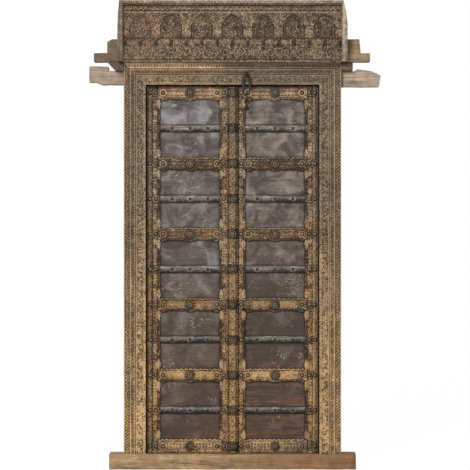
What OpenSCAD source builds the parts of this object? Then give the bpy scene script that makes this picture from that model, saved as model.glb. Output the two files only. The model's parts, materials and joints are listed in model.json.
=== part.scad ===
// Carved temple door: two leaves hung on pivots in a carved frame, under a carved cornice.
// Lengths are millimetres. +Z is up and the carved side faces -Y. The origin is the middle of the
// sill's underside, in the plane of the frame's carved face.

/* [Doorway] */
// Clear width between the jambs
opening_w = 784; // [740:1:900]
// Clear height between the sill and the lintel
opening_h = 1692; // [1560:1:1900]

/* [Frame] */
// Width of the carved face of the jambs and of the lintel
face_w = 108; // [98:1:124]
// Depth of the jambs and of the lintel
frame_d = 110; // [100:1:150]
// Depth of the carved lip in front of the leaves
lip_d = 40; // [36:1:46]
// Width by which the lip laps over the edges of a leaf
lap_w = 10; // [8:1:16]
// Depth of the sunk ground between the raised borders
ground_d = 5; // [3:0.5:6]
// Step from each carved band down to the next one in
band_step = 3; // [0:0.5:4]
// Height of the sill
sill_h = 70; // [64:1:100]
// Depth of the sill
sill_d = 150; // [140:1:200]
// Reach of the sill in front of the carved face
sill_nose = 14; // [6:1:20]
// Reach of the sill past each jamb
sill_reach = 68; // [40:1:120]
// Rounding of the sill's ends
sill_round = 9; // [4:1:14]
// Reach of the lintel past the left jamb
left_horn = 160; // [130:1:200]
// Reach of the lintel past the right jamb
right_horn = 183; // [150:1:220]
// Setback of the lintel's horns behind the carved face
horn_setback = 30; // [10:1:50]
// Height of the seats on the horns above the lintel's underside
seat_rise = 72; // [64:1:78]
// Height of the tenons on the jambs
tenon_h = 36; // [24:1:44]
// Thickness of the tenons on the jambs
tenon_t = 34; // [24:1:40]

/* [Cornice] */
// Height of the carved frieze
frieze_h = 222; // [200:1:260]
// Thickness of the frieze board behind its relief
frieze_t = 42; // [30:1:50]
// Reach of the frieze's ground in front of the frame
frieze_reach = 54; // [44:1:60]
// Height of the frieze's relief
relief_h = 8; // [5:0.5:10]
// Height of the cap above the frieze
cap_h = 56; // [46:1:70]
// Reach of the cap in front of the frieze's ground
cap_reach = 20; // [14:1:28]
// Thickness of the cheeks at the cornice's ends
cheek_t = 26; // [20:1:32]
// Height of the cornice beam
beam_h = 104; // [80:1:110]
// Depth of the cornice beam
beam_d = 84; // [70:1:100]
// Gap between the lintel's top and the cornice
beam_gap = 4; // [2:1:8]
// Height of the tenons at the beam's ends
beam_tenon_h = 40; // [30:1:48]
// Length of the tenon at the beam's left end
left_tenon = 61; // [40:1:80]
// Length of the tenon at the beam's right end
right_tenon = 42; // [30:1:60]
// Reach of the beam's left shoulder past the frame
left_shoulder = 76; // [60:1:90]
// Reach of the beam's right shoulder past the frame
right_shoulder = 90; // [70:1:100]
// Number of arches in the frieze
arch_count = 7; // [5:2:9]

/* [Leaves] */
// Thickness of a leaf
leaf_t = 44; // [40:1:50]
// Thickness of the lip over the panels
cusp_t = 14; // [10:1:16]
// Thickness of the panels
panel_t = 18; // [14:1:20]
// Depth to which the panels are let into the framing
house_d = 12; // [9:1:14]
// Visible width of a hanging stile
hanging_w = 49; // [44:1:60]
// Visible width of each meeting stile beside the astragal
meeting_w = 25; // [22:1:34]
// Height of the visible top rail
top_rail_h = 54; // [46:1:66]
// Height of the bottom rail
bottom_rail_h = 57; // [46:1:66]
// Height of the rails between the panels
rail_h = 50; // [44:1:60]
// Length of the rails' tenons
rail_tenon = 15; // [13:1:17]
// Width of the astragal
astragal_w = 50; // [44:1:56]
// Thickness of the astragal
astragal_t = 18; // [14:1:20]
// Depth of the step along the outer edge of a hanging stile
stile_step = 3; // [1:0.5:5]
// Gap between the leaves
seam_gap = 4; // [3:0.5:6]
// Gap between the leaves and the sill
foot_gap = 4; // [3:0.5:6]
// Gap between the leaves and the frame
leaf_gap = 2.5; // [2:0.5:4]
// Radius of the pivots
pivot_r = 14; // [11:0.5:16]
// Length of the pivots
pivot_len = 32; // [26:1:36]
// Clearance around the pivots
pivot_play = 0.1; // [0.05:0.05:0.3]

/* [Ironwork] */
// Width of the straps over the panels
strap_w = 34; // [28:1:40]
// Thickness of the straps
strap_t = 9; // [7:0.5:11]
// Radius of the strap nails
nail_r = 7.5; // [6:0.5:9]
// Radius of the studs
stud_r = 11; // [9:0.5:12]
// Height of the studs
stud_h = 8; // [6:0.5:10]
// Radius of the rosettes on the rails
rosette_r = 23; // [20:1:26]
// Radius of the rosettes on the astragal
boss_r = 22; // [18:1:24]

/* [Chain] */
// Distance of the chain from the middle of the doorway
chain_x = 65; // [50:1:90]
// Height of the staple above the lintel's underside
staple_rise = 54; // [40:1:60]
// Radius of the iron of the staple
staple_r = 4; // [3:0.5:4.5]
// Radius of the staple's bend
staple_bend = 9; // [9:0.5:12]
// Reach of the staple in front of the carved face
staple_reach = 15; // [14:1:24]
// Radius of the iron of the links
link_r = 3.5; // [3:0.5:3.5]
// Radius of the long hasp's ends
hasp_bend = 15; // [13:1:18]
// Length of the long hasp's straight sides
hasp_len = 64; // [50:1:90]
// Radius of the short link's ends
link_bend = 8.5; // [8:0.5:11]
// Length of the short link's straight sides
link_len = 22; // [16:1:30]
// Radius of the drop's eye
eye_bend = 8.5; // [8:0.5:11]
// Radius of the drop's knob
knob_r = 12; // [9:0.5:14]
// Height of the drop's knob
knob_h = 30; // [24:1:40]
// Clearance between the iron of one link and the next
link_play = 0.5; // [0.4:0.1:0.8]

/* [Output] */
// Sub-part to draw, or all of them

/* [Hidden] */
$fn = 48;
// how far a cutting shape runs past the face that it cuts
overrun = 1;
// gap around pieces let into grooves and mortises
joint_play = 0.2;
// number of panels in a leaf
cells = 5;
// number of straight steps in a curved lobe
lobe_steps = 8;

// edges of the three carved bands, from the opening outwards
band_shares = [0, 0.05, 0.41, 0.46, 0.52, 0.68, 0.74, 0.79, 0.95, 1];
// pitch of the motifs along each band, as shares of the face's width
scroll_pitch_share = 0.82;
bead_pitch_share = 0.19;
leaf_pitch_share = 0.3;

// outlines of the lintel's horns: reach along the horn and height up the lintel's face
left_horn_shares = [[0, 0.09], [0.64, 0.09], [0.81, 0.19], [1, 0.19], [1, 0.87], [0.45, 0.85]];
right_horn_shares = [[0, 0], [0.96, 0], [1, 0.47], [0.97, 0.5], [0.78, 0.65], [0.4, 0.76]];
// part of each horn that is cut down to a seat
left_seat_share = 0.45;
right_seat_share = 0.37;

// outline of the cheeks: reach in front of the frieze's ground and height up the cornice
cheek_shares = [[0.5, 0], [0.9, 0.08], [1.25, 0.3], [1.3, 0.5], [1.15, 0.72], [1.25, 0.86], [1.2, 1]];
// outline of the cap: reach in front of the frieze's ground and height up the cap
cap_shares = [[0, 0], [0.5, 0], [0.5, 0.06], [0.72, 0.12], [0.72, 0.48], [0.56, 0.51], [0.56, 0.56],
    [0.85, 0.6], [0.85, 0.66], [1, 0.7], [1, 1]];
// outline of the astragal: place across it from its middle and height above the leaf
astragal_shares = [[0.5, 0], [0.5, 0.42], [0.4, 0.62], [0.34, 0.5], [0.28, 0.8], [0.24, 1]];

// heights of the frieze's tiers
foot_share = 0.035;
lower_tier_share = 0.35;
peg_tier_share = 0.49;
head_share = 0.985;

half_w = opening_w / 2;
frame_half = half_w + face_w;
lintel_z = sill_h + opening_h;
head_top = lintel_z + face_w;
seat_z = lintel_z + seat_rise;
cornice_z = head_top + beam_gap;
cap_z = cornice_z + frieze_h;
cornice_h = frieze_h + cap_h;
pad_h = cornice_z - seat_z;
beam_y = frieze_t - frieze_reach;

rebate_w = lap_w + leaf_gap;
leaf_y = lip_d + leaf_gap;
leaf_z = sill_h + foot_gap;
leaf_top = lintel_z + lap_w - leaf_gap;
leaf_h = leaf_top - leaf_z;
panel_y = leaf_y + cusp_t;
back_y = panel_y + panel_t;
back_t = leaf_t - cusp_t - panel_t;
pivot_x = half_w + lap_w - leaf_t / 2;
pivot_y = leaf_y + leaf_t / 2;
heel_r = leaf_t / 2 - stile_step - overrun;
step_w = 2 * stud_r + leaf_gap + joint_play;
sight_out = half_w - hanging_w;
sight_in = astragal_w / 2 + meeting_w;
sight_w = sight_out - sight_in;
left_seam = -astragal_w / 2;
right_seam = astragal_w / 2 + seam_gap;
top_rail_z = lintel_z - top_rail_h;
cell_h = (top_rail_z - leaf_z - bottom_rail_h - (cells - 1) * rail_h) / cells;
cell_pitch = cell_h + rail_h;
cell_z0 = leaf_z + bottom_rail_h;

// lobes on the edges of the stiles and rails
corner_lobe_len = rail_h * 1.1;
corner_lobe_h = rail_h * 0.22;
strap_lobe_len = strap_w * 1.1;
strap_lobe_h = strap_w * 0.2;
end_lobe_len = rail_h * 0.6;
end_lobe_h = rail_h * 0.15;
scallop_len = rail_h * 0.44;
scallop_h = rail_h * 0.08;

bay = 2 * (frame_half - relief_h) / arch_count;
motif_t = relief_h + overrun;

staple_z = lintel_z + staple_rise;
chain_y = -staple_reach;
hasp_top = staple_z - staple_bend + staple_r + link_r + link_play;
hasp_low = hasp_top - hasp_len - 2 * hasp_bend;
link_top = hasp_low + 2 * link_r + link_play;
link_low = link_top - link_len - 2 * link_bend;
eye_top = link_low + 2 * link_r + link_play;
eye_z = eye_top - eye_bend;

frame_tint = [0.52, 0.4, 0.28];
cornice_tint = [0.42, 0.34, 0.27];
raw_tint = [0.68, 0.57, 0.43];
leaf_tint = [0.4, 0.31, 0.23];
panel_tint = [0.29, 0.25, 0.22];
iron_tint = [0.16, 0.16, 0.18];

// place of a carved band's edge across the face
function band(i) = band_shares[i] * face_w;
// underside of a panel opening, counted from the bottom
function cell_z(i) = cell_z0 + i * cell_pitch;
// height of a strap or of a rail, counted from the top
function strap_z(i) = cell_z(cells - i) + cell_h / 2;
function rail_z(i) = cell_z(cells - i) - rail_h;
// points of a lobe on an edge: place along the edge and height out of it
function lobe(mid, len, h) = [for (i = [0:lobe_steps])
    [mid - len / 2 + len * i / lobe_steps, h * sin(180 * i / lobe_steps)]];
// points of a pointed leaf that starts at the origin and runs along +Y
function leaf_points(len, w) = concat(
    [for (i = [0:lobe_steps / 2]) [w / 2 * sin(360 * i / lobe_steps), len * 2 * i / lobe_steps]],
    [for (i = [lobe_steps / 2 - 1:-1:1]) [-w / 2 * sin(360 * i / lobe_steps), len * 2 * i / lobe_steps]]);
// points of a wavy stem that runs along +Y
function stem_points(len, turns, swing, half) = let (n = turns * lobe_steps) concat(
    [for (i = [0:n]) [swing * sin(360 * turns * i / n) - half, len * i / n]],
    [for (i = [n:-1:0]) [swing * sin(360 * turns * i / n) + half, len * i / n]]);
// points of a flower with rounded petals
function flower_points(r, petals, notch_share) = let (n = petals * 4) [for (i = [0:n - 1])
    let (q = r * (1 - notch_share * abs(cos(180 * petals * i / n))))
        [q * cos(360 * i / n), q * sin(360 * i / n)]];
// points of an arch that stands on the X axis
function arch_points(half, spring, rise) = [for (i = [0:2 * lobe_steps])
    [-half * cos(180 * i / (2 * lobe_steps)), spring + rise * pow(sin(180 * i / (2 * lobe_steps)), 1.15)]];

// draws the children on the right, or mirrored on the left
module on_side(side) {
    if (side < 0)
        mirror([1, 0, 0]) children();
    else
        children();
}

// raises an outline drawn in X and Z from one depth to another
module slab(y, t) {
    translate([0, y + t, 0]) rotate([90, 0, 0]) linear_extrude(height = t) children();
}

// draws out a profile in Y and Z along X
module run_x(x, len) {
    translate([x, 0, 0]) rotate([90, 0, 90]) linear_extrude(height = len) children();
}

// draws out a profile in X and Y along Z
module run_z(z, len) {
    translate([0, 0, z]) linear_extrude(height = len) children();
}

module block(from, to) {
    translate(from) cube(to - from);
}

// profile of the carved face: across the face from the opening, and back from its front
module face_profile() {
    polygon([
        [band(0), lip_d], [band(0), 2 * band_step], [band(1), 2 * band_step],
        [band(1), 2 * band_step + ground_d], [band(2), 2 * band_step + ground_d],
        [band(2), 2 * band_step], [band(3), 2 * band_step], [band(3), 2 * band_step + ground_d],
        [band(4), 2 * band_step + ground_d], [band(4), band_step + ground_d],
        [band(5), band_step + ground_d], [band(5), band_step], [band(6), band_step],
        [(band(6) + band(7)) / 2, band_step + ground_d], [band(7), 0],
        [band(7), ground_d], [band(8), ground_d], [band(8), 0], [band(9), 0], [band(9), lip_d]]);
}

// carved motifs of the three bands, laid across X and along Y
module band_motifs(len, grow) {
    scroll_w = band(2) - band(1);
    scroll_mid = (band(2) + band(1)) / 2;
    scroll_len = len + grow * band(1);
    turns = floor(scroll_len / (face_w * scroll_pitch_share));
    translate([scroll_mid, 0])
        polygon(stem_points(scroll_len, turns, scroll_w * 0.26, scroll_w * 0.07));
    for (i = [0:2 * turns - 1])
        translate([scroll_mid - scroll_w * (i % 2 == 0 ? 0.16 : -0.16), (i + 0.5) * scroll_len / (2 * turns)])
            polygon(flower_points(scroll_w * 0.26, 5, 0.4));
    bead_w = band(5) - band(4);
    bead_mid = (band(5) + band(4)) / 2;
    bead_len = len + grow * band(4);
    beads = floor(bead_len / (face_w * bead_pitch_share));
    for (i = [0:beads - 1])
        translate([bead_mid, (i + 0.5) * bead_len / beads])
            circle(r = bead_w * 0.42, $fn = 4);
    leaf_w = band(8) - band(7);
    leaf_mid = (band(8) + band(7)) / 2;
    leaf_len = len + grow * band(7);
    leaves = floor(leaf_len / (face_w * leaf_pitch_share));
    for (i = [0:leaves - 1])
        translate([leaf_mid, (i + 0.5) * leaf_len / leaves])
            rotate(i % 2 == 0 ? 38 : -38)
                translate([0, -leaf_w * 0.62])
                    polygon(leaf_points(leaf_w * 1.24, leaf_w * 0.5));
}

module jamb(side) {
    on_side(side) {
        difference() {
            union() {
                intersection() {
                    translate([half_w, 0, 0]) run_z(sill_h, opening_h + face_w) face_profile();
                    slab(0, lip_d)
                        polygon([[half_w, sill_h], [frame_half, sill_h],
                            [frame_half, head_top], [half_w, lintel_z]]);
                }
                block([half_w, lip_d - overrun, sill_h], [frame_half, frame_d, lintel_z]);
                block([half_w + face_w / 2, lip_d + joint_play, sill_h - tenon_h],
                    [half_w + face_w / 2 + tenon_t, lip_d + tenon_t, lintel_z + tenon_h]);
                translate([half_w, 0, sill_h])
                    slab(band_step + ground_d * 0.4, lip_d / 2) band_motifs(opening_h, 1);
            }
            block([half_w - overrun, lip_d, sill_h - overrun],
                [half_w + rebate_w, frame_d + overrun, lintel_z + overrun]);
        }
    }
}

module left_jamb() {
    color(frame_tint) jamb(-1);
}

module right_jamb() {
    color(frame_tint) jamb(1);
}

module sill() {
    sill_half = frame_half + sill_reach;
    color(raw_tint)
        difference() {
            run_z(0, sill_h)
                polygon([[-sill_half, sill_round - sill_nose], [sill_round - sill_half, -sill_nose],
                    [sill_half - sill_round, -sill_nose], [sill_half, sill_round - sill_nose],
                    [sill_half, sill_d - sill_nose], [-sill_half, sill_d - sill_nose]]);
            for (side = [-1, 1])
                on_side(side) {
                    block([half_w + face_w / 2 - joint_play, lip_d, sill_h - tenon_h - joint_play],
                        [half_w + face_w / 2 + tenon_t + joint_play, lip_d + tenon_t + joint_play,
                            sill_h + overrun]);
                    translate([pivot_x, pivot_y, leaf_z - pivot_len - joint_play])
                        cylinder(r = pivot_r + pivot_play, h = sill_h);
                }
        }
}

// rough end of the lintel, which runs on behind the carved lip
module horn(side, reach, shares, seat_share) {
    on_side(side)
        for (part = [[horn_setback, 0], [lip_d, face_w / 2]])
            slab(part[0], frame_d - part[0])
                polygon(concat(
                    [for (p = shares) [frame_half + p[0] * reach, lintel_z + p[1] * face_w]],
                    [[frame_half + seat_share * reach, seat_z], [frame_half - part[1], seat_z],
                        [frame_half - part[1], lintel_z + shares[0][1] * face_w]]));
}

module lintel() {
    color(frame_tint)
        difference() {
            union() {
                intersection() {
                    translate([-frame_half, 0, lintel_z])
                        rotate([90, 0, 90]) linear_extrude(height = 2 * frame_half)
                            mirror([1, -1]) face_profile();
                    slab(0, lip_d)
                        polygon([[-half_w, lintel_z], [half_w, lintel_z],
                            [frame_half, head_top], [-frame_half, head_top]]);
                }
                block([-frame_half, lip_d, lintel_z], [frame_half, frame_d, head_top]);
                horn(-1, left_horn, left_horn_shares, left_seat_share);
                horn(1, right_horn, right_horn_shares, right_seat_share);
                translate([-half_w, 0, lintel_z])
                    slab(band_step + ground_d * 0.4, lip_d / 2)
                        mirror([1, -1]) band_motifs(opening_w, 0);
            }
            block([-half_w - rebate_w, lip_d, lintel_z - overrun],
                [half_w + rebate_w, frame_d + overrun, lintel_z + lap_w]);
            for (side = [-1, 1])
                on_side(side) {
                    block([half_w + face_w / 2 - joint_play, lip_d, lintel_z - overrun],
                        [half_w + face_w / 2 + tenon_t + joint_play, lip_d + tenon_t + joint_play,
                            lintel_z + tenon_h + joint_play]);
                    translate([pivot_x, pivot_y, lintel_z - overrun])
                        cylinder(r = pivot_r + pivot_play,
                            h = leaf_top + pivot_len + joint_play - lintel_z + overrun);
                }
            for (s = [-1, 1])
                translate([chain_x, -overrun, staple_z + s * staple_bend])
                    rotate([-90, 0, 0]) cylinder(r = staple_r + pivot_play, h = lip_d);
        }
}

module left_pad() {
    color(raw_tint)
        slab(beam_y, frame_d - beam_y)
            polygon([[-frame_half, seat_z], [-frame_half - left_horn * 0.24, seat_z],
                [-frame_half - left_shoulder, cornice_z], [-frame_half, cornice_z]]);
}

module right_pad() {
    color(raw_tint)
        slab(beam_y, frame_d - beam_y)
            polygon([[frame_half, seat_z], [frame_half + right_horn * 0.29, seat_z],
                [frame_half + right_horn * 0.29, cornice_z], [frame_half, cornice_z]]);
}

module cornice_beam() {
    top = cornice_z + beam_h;
    color(raw_tint)
        slab(beam_y, beam_d)
            polygon([[-frame_half - left_shoulder - left_tenon, cornice_z],
                [frame_half + right_shoulder + right_tenon, cornice_z],
                [frame_half + right_shoulder + right_tenon, cornice_z + beam_tenon_h],
                [frame_half + right_shoulder, cornice_z + beam_tenon_h],
                [frame_half + right_shoulder * 0.92, top], [-frame_half - left_shoulder * 0.72, top],
                [-frame_half - left_shoulder, top - beam_h * 0.12],
                [-frame_half - left_shoulder, cornice_z + beam_tenon_h],
                [-frame_half - left_shoulder - left_tenon, cornice_z + beam_tenon_h]]);
}

// lotus bud that fills an arch of the frieze
module bud(h) {
    polygon(leaf_points(h, h * 0.36));
    for (s = [-1, 1])
        translate([s * h * 0.16, 0])
            rotate(-s * 32) polygon(leaf_points(h * 0.62, h * 0.22));
}

// vase with spreading leaves that stands between two arches
module vase(h) {
    translate([0, h * 0.16]) circle(r = h * 0.13, $fn = 12);
    for (a = [-44, -16, 16, 44])
        translate([0, h * 0.22])
            rotate(a) translate([0, h * 0.1]) polygon(leaf_points(h * 0.66, h * 0.17));
}

// four leaves around a centre in the frieze's lower tier
module cross_leaves(h) {
    circle(r = h * 0.1, $fn = 8);
    for (a = [45, 135, 225, 315])
        rotate(a) translate([0, h * 0.14]) polygon(leaf_points(h * 0.52, h * 0.24));
}

module frieze_board() {
    front = -frieze_reach;
    z1 = cornice_z + frieze_h * foot_share;
    z2 = cornice_z + frieze_h * lower_tier_share;
    z3 = cornice_z + frieze_h * peg_tier_share;
    z4 = cornice_z + frieze_h * head_share;
    tier = z4 - z3;
    peg_w = bay * 0.1;
    color(cornice_tint) {
        block([-frame_half, front, cornice_z], [frame_half, front + frieze_t, cap_z]);
        block([-frame_half, front - relief_h, cornice_z], [frame_half, front + overrun, z1]);
        block([-frame_half, front - relief_h, z3 - frieze_h * 0.04], [frame_half, front + overrun, z3]);
        block([-frame_half, front - relief_h / 2, z2], [frame_half, front + overrun, z2 + frieze_h * 0.05]);
        for (i = [0:2 * arch_count])
            run_x((i - arch_count) * bay / 2 - peg_w / 2, peg_w)
                polygon([[front + overrun, z2 - frieze_h * 0.02], [front - relief_h, z2],
                    [front - 2 * relief_h, z2 + frieze_h * 0.06], [front - 2 * relief_h, z3 - frieze_h * 0.03],
                    [front + overrun, z3 - frieze_h * 0.03]]);
        for (i = [0:arch_count - 1])
            translate([(i - (arch_count - 1) / 2) * bay, 0, z3]) {
                slab(front - relief_h, motif_t)
                    difference() {
                        polygon(concat([[-bay * 0.36, 0]], arch_points(bay * 0.36, tier * 0.42, tier * 0.55),
                            [[bay * 0.36, 0]]));
                        polygon(concat([[-bay * 0.27, -overrun]],
                            arch_points(bay * 0.27, tier * 0.38, tier * 0.42), [[bay * 0.27, -overrun]]));
                    }
                slab(front - relief_h * 0.7, motif_t) translate([0, tier * 0.06]) bud(tier * 0.58);
            }
        for (i = [0:arch_count])
            intersection() {
                translate([(i - arch_count / 2) * bay, 0, z3])
                    slab(front - relief_h * 0.8, motif_t) vase(tier * 0.92);
                block([-frame_half, -2 * frieze_reach, z3], [frame_half, 0, z4]);
            }
        for (i = [0:2 * arch_count - 1])
            translate([(i + 0.5 - arch_count) * bay / 2, 0, (z1 + z2) / 2])
                slab(front - relief_h * 0.7, motif_t) cross_leaves(z2 - z1);
        for (i = [1:2 * arch_count - 1])
            translate([(i - arch_count) * bay / 2, 0, (z1 + z2) / 2])
                slab(front - relief_h * 0.6, motif_t) circle(r = bay * 0.07, $fn = 4);
    }
}

module cornice_cap() {
    color(cornice_tint)
        run_x(-frame_half, 2 * frame_half)
            polygon(concat(
                [for (p = cap_shares) [-frieze_reach - p[0] * cap_reach, cap_z + p[1] * cap_h]],
                [[beam_y + beam_d / 2, cap_z + cap_h], [beam_y + beam_d / 2, cap_z]]));
}

// end board of the cornice, notched over the beam
module cheek(taper) {
    intersection() {
        run_x(frame_half, cheek_t)
            polygon(concat(
                [for (p = cheek_shares) [-frieze_reach - p[0] * cap_reach, cornice_z + p[1] * cornice_h]],
                [[beam_y + beam_d / 2, cornice_z + cornice_h], [beam_y + beam_d / 2, cornice_z + beam_h],
                    [beam_y, cornice_z + beam_h], [beam_y, cornice_z]]));
        slab(-2 * frieze_reach, 2 * frieze_reach + beam_d)
            polygon([[frame_half, cornice_z], [frame_half + cheek_t, cornice_z],
                [frame_half + cheek_t, cornice_z + cornice_h * 0.6],
                [frame_half + cheek_t - taper * 0.3, cornice_z + cornice_h * 0.8],
                [frame_half + cheek_t - taper, cornice_z + cornice_h], [frame_half, cornice_z + cornice_h]]);
    }
}

module left_cheek() {
    color(cornice_tint) on_side(-1) cheek(cheek_t * 0.3);
}

module right_cheek() {
    color(cornice_tint) on_side(1) cheek(cheek_t * 0.7);
}

// closed link in the plane of X and Z, hung from the origin: two bends joined by straight sides
module oval_link(bend, len, r) {
    for (s = [-1, 1])
        translate([s * bend, 0, -bend - len]) cylinder(r = r, h = len);
    translate([0, 0, -bend]) rotate([90, 0, 0]) rotate_extrude(angle = 180) translate([bend, 0]) circle(r = r);
    translate([0, 0, -bend - len])
        rotate([90, 0, 0]) rotate([0, 0, 180]) rotate_extrude(angle = 180) translate([bend, 0]) circle(r = r);
}

module chain_staple() {
    color(iron_tint)
        translate([chain_x, chain_y, staple_z]) {
            for (s = [-1, 1])
                translate([0, 0, s * staple_bend])
                    rotate([-90, 0, 0]) cylinder(r = staple_r, h = lip_d - 2 * overrun - chain_y);
            rotate([0, 0, -90]) rotate([90, 0, 0]) rotate([0, 0, -90])
                rotate_extrude(angle = 180) translate([staple_bend, 0]) circle(r = staple_r);
        }
}

module chain_hasp() {
    color(iron_tint) translate([chain_x, chain_y, hasp_top]) oval_link(hasp_bend, hasp_len, link_r);
}

module chain_link() {
    color(iron_tint)
        translate([chain_x, chain_y, link_top])
            rotate([0, 0, 90]) oval_link(link_bend, link_len, link_r);
}

module chain_drop() {
    color(iron_tint)
        translate([chain_x, chain_y, eye_z]) {
            rotate([90, 0, 0]) rotate_extrude() translate([eye_bend, 0]) circle(r = link_r);
            translate([0, 0, -eye_bend - knob_h])
                rotate_extrude()
                    polygon([[0, 0], [knob_r * 0.5, knob_h * 0.04], [knob_r * 0.9, knob_h * 0.16],
                        [knob_r, knob_h * 0.34], [knob_r * 0.84, knob_h * 0.55], [knob_r * 0.5, knob_h * 0.72],
                        [knob_r * 0.36, knob_h], [0, knob_h]]);
        }
}

// lobes on a stile's edge: one at each corner of each panel and one at each strap
function stile_lobes() = [for (i = [0:cells - 1]) each concat(
    lobe(cell_z(i) + corner_lobe_len / 2, corner_lobe_len, corner_lobe_h),
    lobe(cell_z(i) + cell_h / 2, strap_lobe_len, strap_lobe_h),
    lobe(cell_z(i) + cell_h - corner_lobe_len / 2, corner_lobe_len, corner_lobe_h))];

// stile between its outer edge and its visible edge, with the housing for panels and rails
module stile(outer, sight, toward) {
    slab(leaf_y, cusp_t)
        polygon(concat([[outer, leaf_z]], [[sight, leaf_z]],
            [for (p = stile_lobes()) [sight + toward * p[1], p[0]]], [[sight, leaf_top], [outer, leaf_top]]));
    slab(panel_y, panel_t)
        polygon([[outer, leaf_z], [sight - toward * house_d, leaf_z],
            [sight - toward * house_d, leaf_top], [outer, leaf_top]]);
    slab(back_y, back_t)
        polygon([[outer, leaf_z], [sight, leaf_z], [sight, leaf_top], [outer, leaf_top]]);
}

// mortises for the tenons of all rails, cut into a stile from its visible edge
module rail_mortises(sight, toward) {
    far = sight - toward * (rail_tenon + joint_play);
    near = sight + toward * overrun;
    low = min(far, near);
    high = max(far, near);
    for (i = [1:cells - 1])
        block([low, panel_y, rail_z(i) + house_d - joint_play],
            [high, back_y, rail_z(i) + rail_h - house_d + joint_play]);
    block([low, panel_y, leaf_z + house_d - joint_play],
        [high, back_y, cell_z0 - house_d + joint_play]);
    block([low, panel_y, top_rail_z + house_d - joint_play],
        [high, back_y, leaf_top - house_d + joint_play]);
}

module hanging_stile(side) {
    color(leaf_tint)
        on_side(side) {
            difference() {
                stile(pivot_x, sight_out, -1);
                rail_mortises(sight_out, -1);
                block([half_w - step_w, leaf_y - overrun, leaf_z - overrun],
                    [pivot_x + leaf_t, leaf_y + stile_step, leaf_top + overrun]);
            }
            translate([pivot_x, pivot_y, leaf_z]) cylinder(r = heel_r, h = leaf_h);
            translate([pivot_x, pivot_y, leaf_z - pivot_len]) cylinder(r = pivot_r, h = leaf_h + 2 * pivot_len);
        }
}

module meeting_stile(side, seam) {
    color(leaf_tint)
        on_side(side)
            difference() {
                stile(seam, sight_in, 1);
                rail_mortises(sight_in, 1);
            }
}

// lobes on a rail's lower edge: one at each end and one under the rosette, with scallops between
function rail_lobes() = let (
    inset = corner_lobe_h + overrun,
    free = sight_w / 2 - inset - end_lobe_len - rosette_r,
    n = max(1, floor(free / scallop_len)))
    concat(lobe(inset + end_lobe_len / 2, end_lobe_len, end_lobe_h),
        [for (i = [0:n - 1]) each lobe(inset + end_lobe_len + (i + 0.5) * free / n, free / n, scallop_h)],
        lobe(sight_w / 2, 2 * rosette_r, end_lobe_h),
        [for (i = [0:n - 1]) each lobe(sight_w / 2 + rosette_r + (i + 0.5) * free / n, free / n, scallop_h)],
        lobe(sight_w - inset - end_lobe_len / 2, end_lobe_len, end_lobe_h));

// scallops on a rail's upper edge
function rail_scallops() = let (
    inset = corner_lobe_h + overrun,
    free = sight_w - 2 * inset,
    n = max(1, floor(free / scallop_len)))
    [for (i = [0:n - 1]) each lobe(inset + (i + 0.5) * free / n, free / n, scallop_h)];

// rail between the stiles, with a tenon at each end
module rail(z, h, lobed, scalloped, tenon_foot, tenon_head) {
    low_edge = lobed ? rail_lobes() : [];
    high_edge = scalloped ? rail_scallops() : [];
    slab(leaf_y, cusp_t)
        polygon(concat([[sight_in, z]], [for (p = low_edge) [sight_in + p[0], z - p[1]]],
            [[sight_out, z], [sight_out, z + h]],
            [for (i = [len(high_edge) - 1:-1:0]) [sight_in + high_edge[i][0], z + h + high_edge[i][1]]],
            [[sight_in, z + h]]));
    block([sight_in - rail_tenon, panel_y + joint_play, z + tenon_foot],
        [sight_out + rail_tenon, back_y - joint_play, z + h - tenon_head]);
    block([sight_in, panel_y - overrun, z + tenon_foot], [sight_out, back_y + overrun, z + h - tenon_head]);
    block([sight_in, back_y, z], [sight_out, back_y + back_t, z + h]);
}

module top_rail(side) {
    color(leaf_tint)
        on_side(side) rail(top_rail_z, leaf_top - top_rail_z, true, false, house_d, house_d);
}

module bottom_rail(side) {
    color(leaf_tint) on_side(side) rail(leaf_z, bottom_rail_h, false, true, house_d, house_d);
}

module middle_rail(side, i) {
    color(leaf_tint) on_side(side) rail(rail_z(i), rail_h, true, true, house_d, house_d);
}

module panel(side, i) {
    z = cell_z(cells - i);
    slack = house_d - joint_play;
    color(panel_tint)
        on_side(side)
            block([sight_in - slack, panel_y + joint_play, z - slack],
                [sight_out + slack, back_y - joint_play, z + cell_h + slack]);
}

// places of a strap's nails, from the middle of the panel
function nail_x(k) = (sight_in + sight_out) / 2 + k * sight_w * 0.28;
strap_front = panel_y + joint_play - strap_t;
nail_seat = strap_front + strap_t * 0.12;

module strap(side, i) {
    round_r = (strap_w * strap_w / 4 + strap_t * strap_t) / (2 * strap_t);
    end_gap = strap_lobe_h + joint_play;
    color(iron_tint)
        on_side(side)
            difference() {
                run_x(sight_in + end_gap, sight_w - 2 * end_gap)
                    intersection() {
                        translate([strap_front + round_r, strap_z(i)]) circle(r = round_r, $fn = 96);
                        translate([strap_front - overrun, strap_z(i) - strap_w])
                            square([strap_t + overrun, 2 * strap_w]);
                    }
                for (k = [-1:1])
                    translate([nail_x(k), nail_seat, strap_z(i)])
                        rotate([90, 0, 0]) cylinder(r = nail_r + joint_play, h = strap_t);
            }
}

// low domed head that stands out to the front of a seat
module dome(r, h) {
    rotate([90, 0, 0])
        rotate_extrude()
            polygon([[0, 0], [r, 0], [r, h * 0.22], [r * 0.86, h * 0.52],
                [r * 0.6, h * 0.82], [r * 0.3, h * 0.97], [0, h]]);
}

module strap_nails(side) {
    color(iron_tint)
        on_side(side)
            for (i = [1:cells], k = [-1:1])
                translate([nail_x(k), nail_seat, strap_z(i)]) dome(nail_r, nail_r * 0.6);
}

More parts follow.
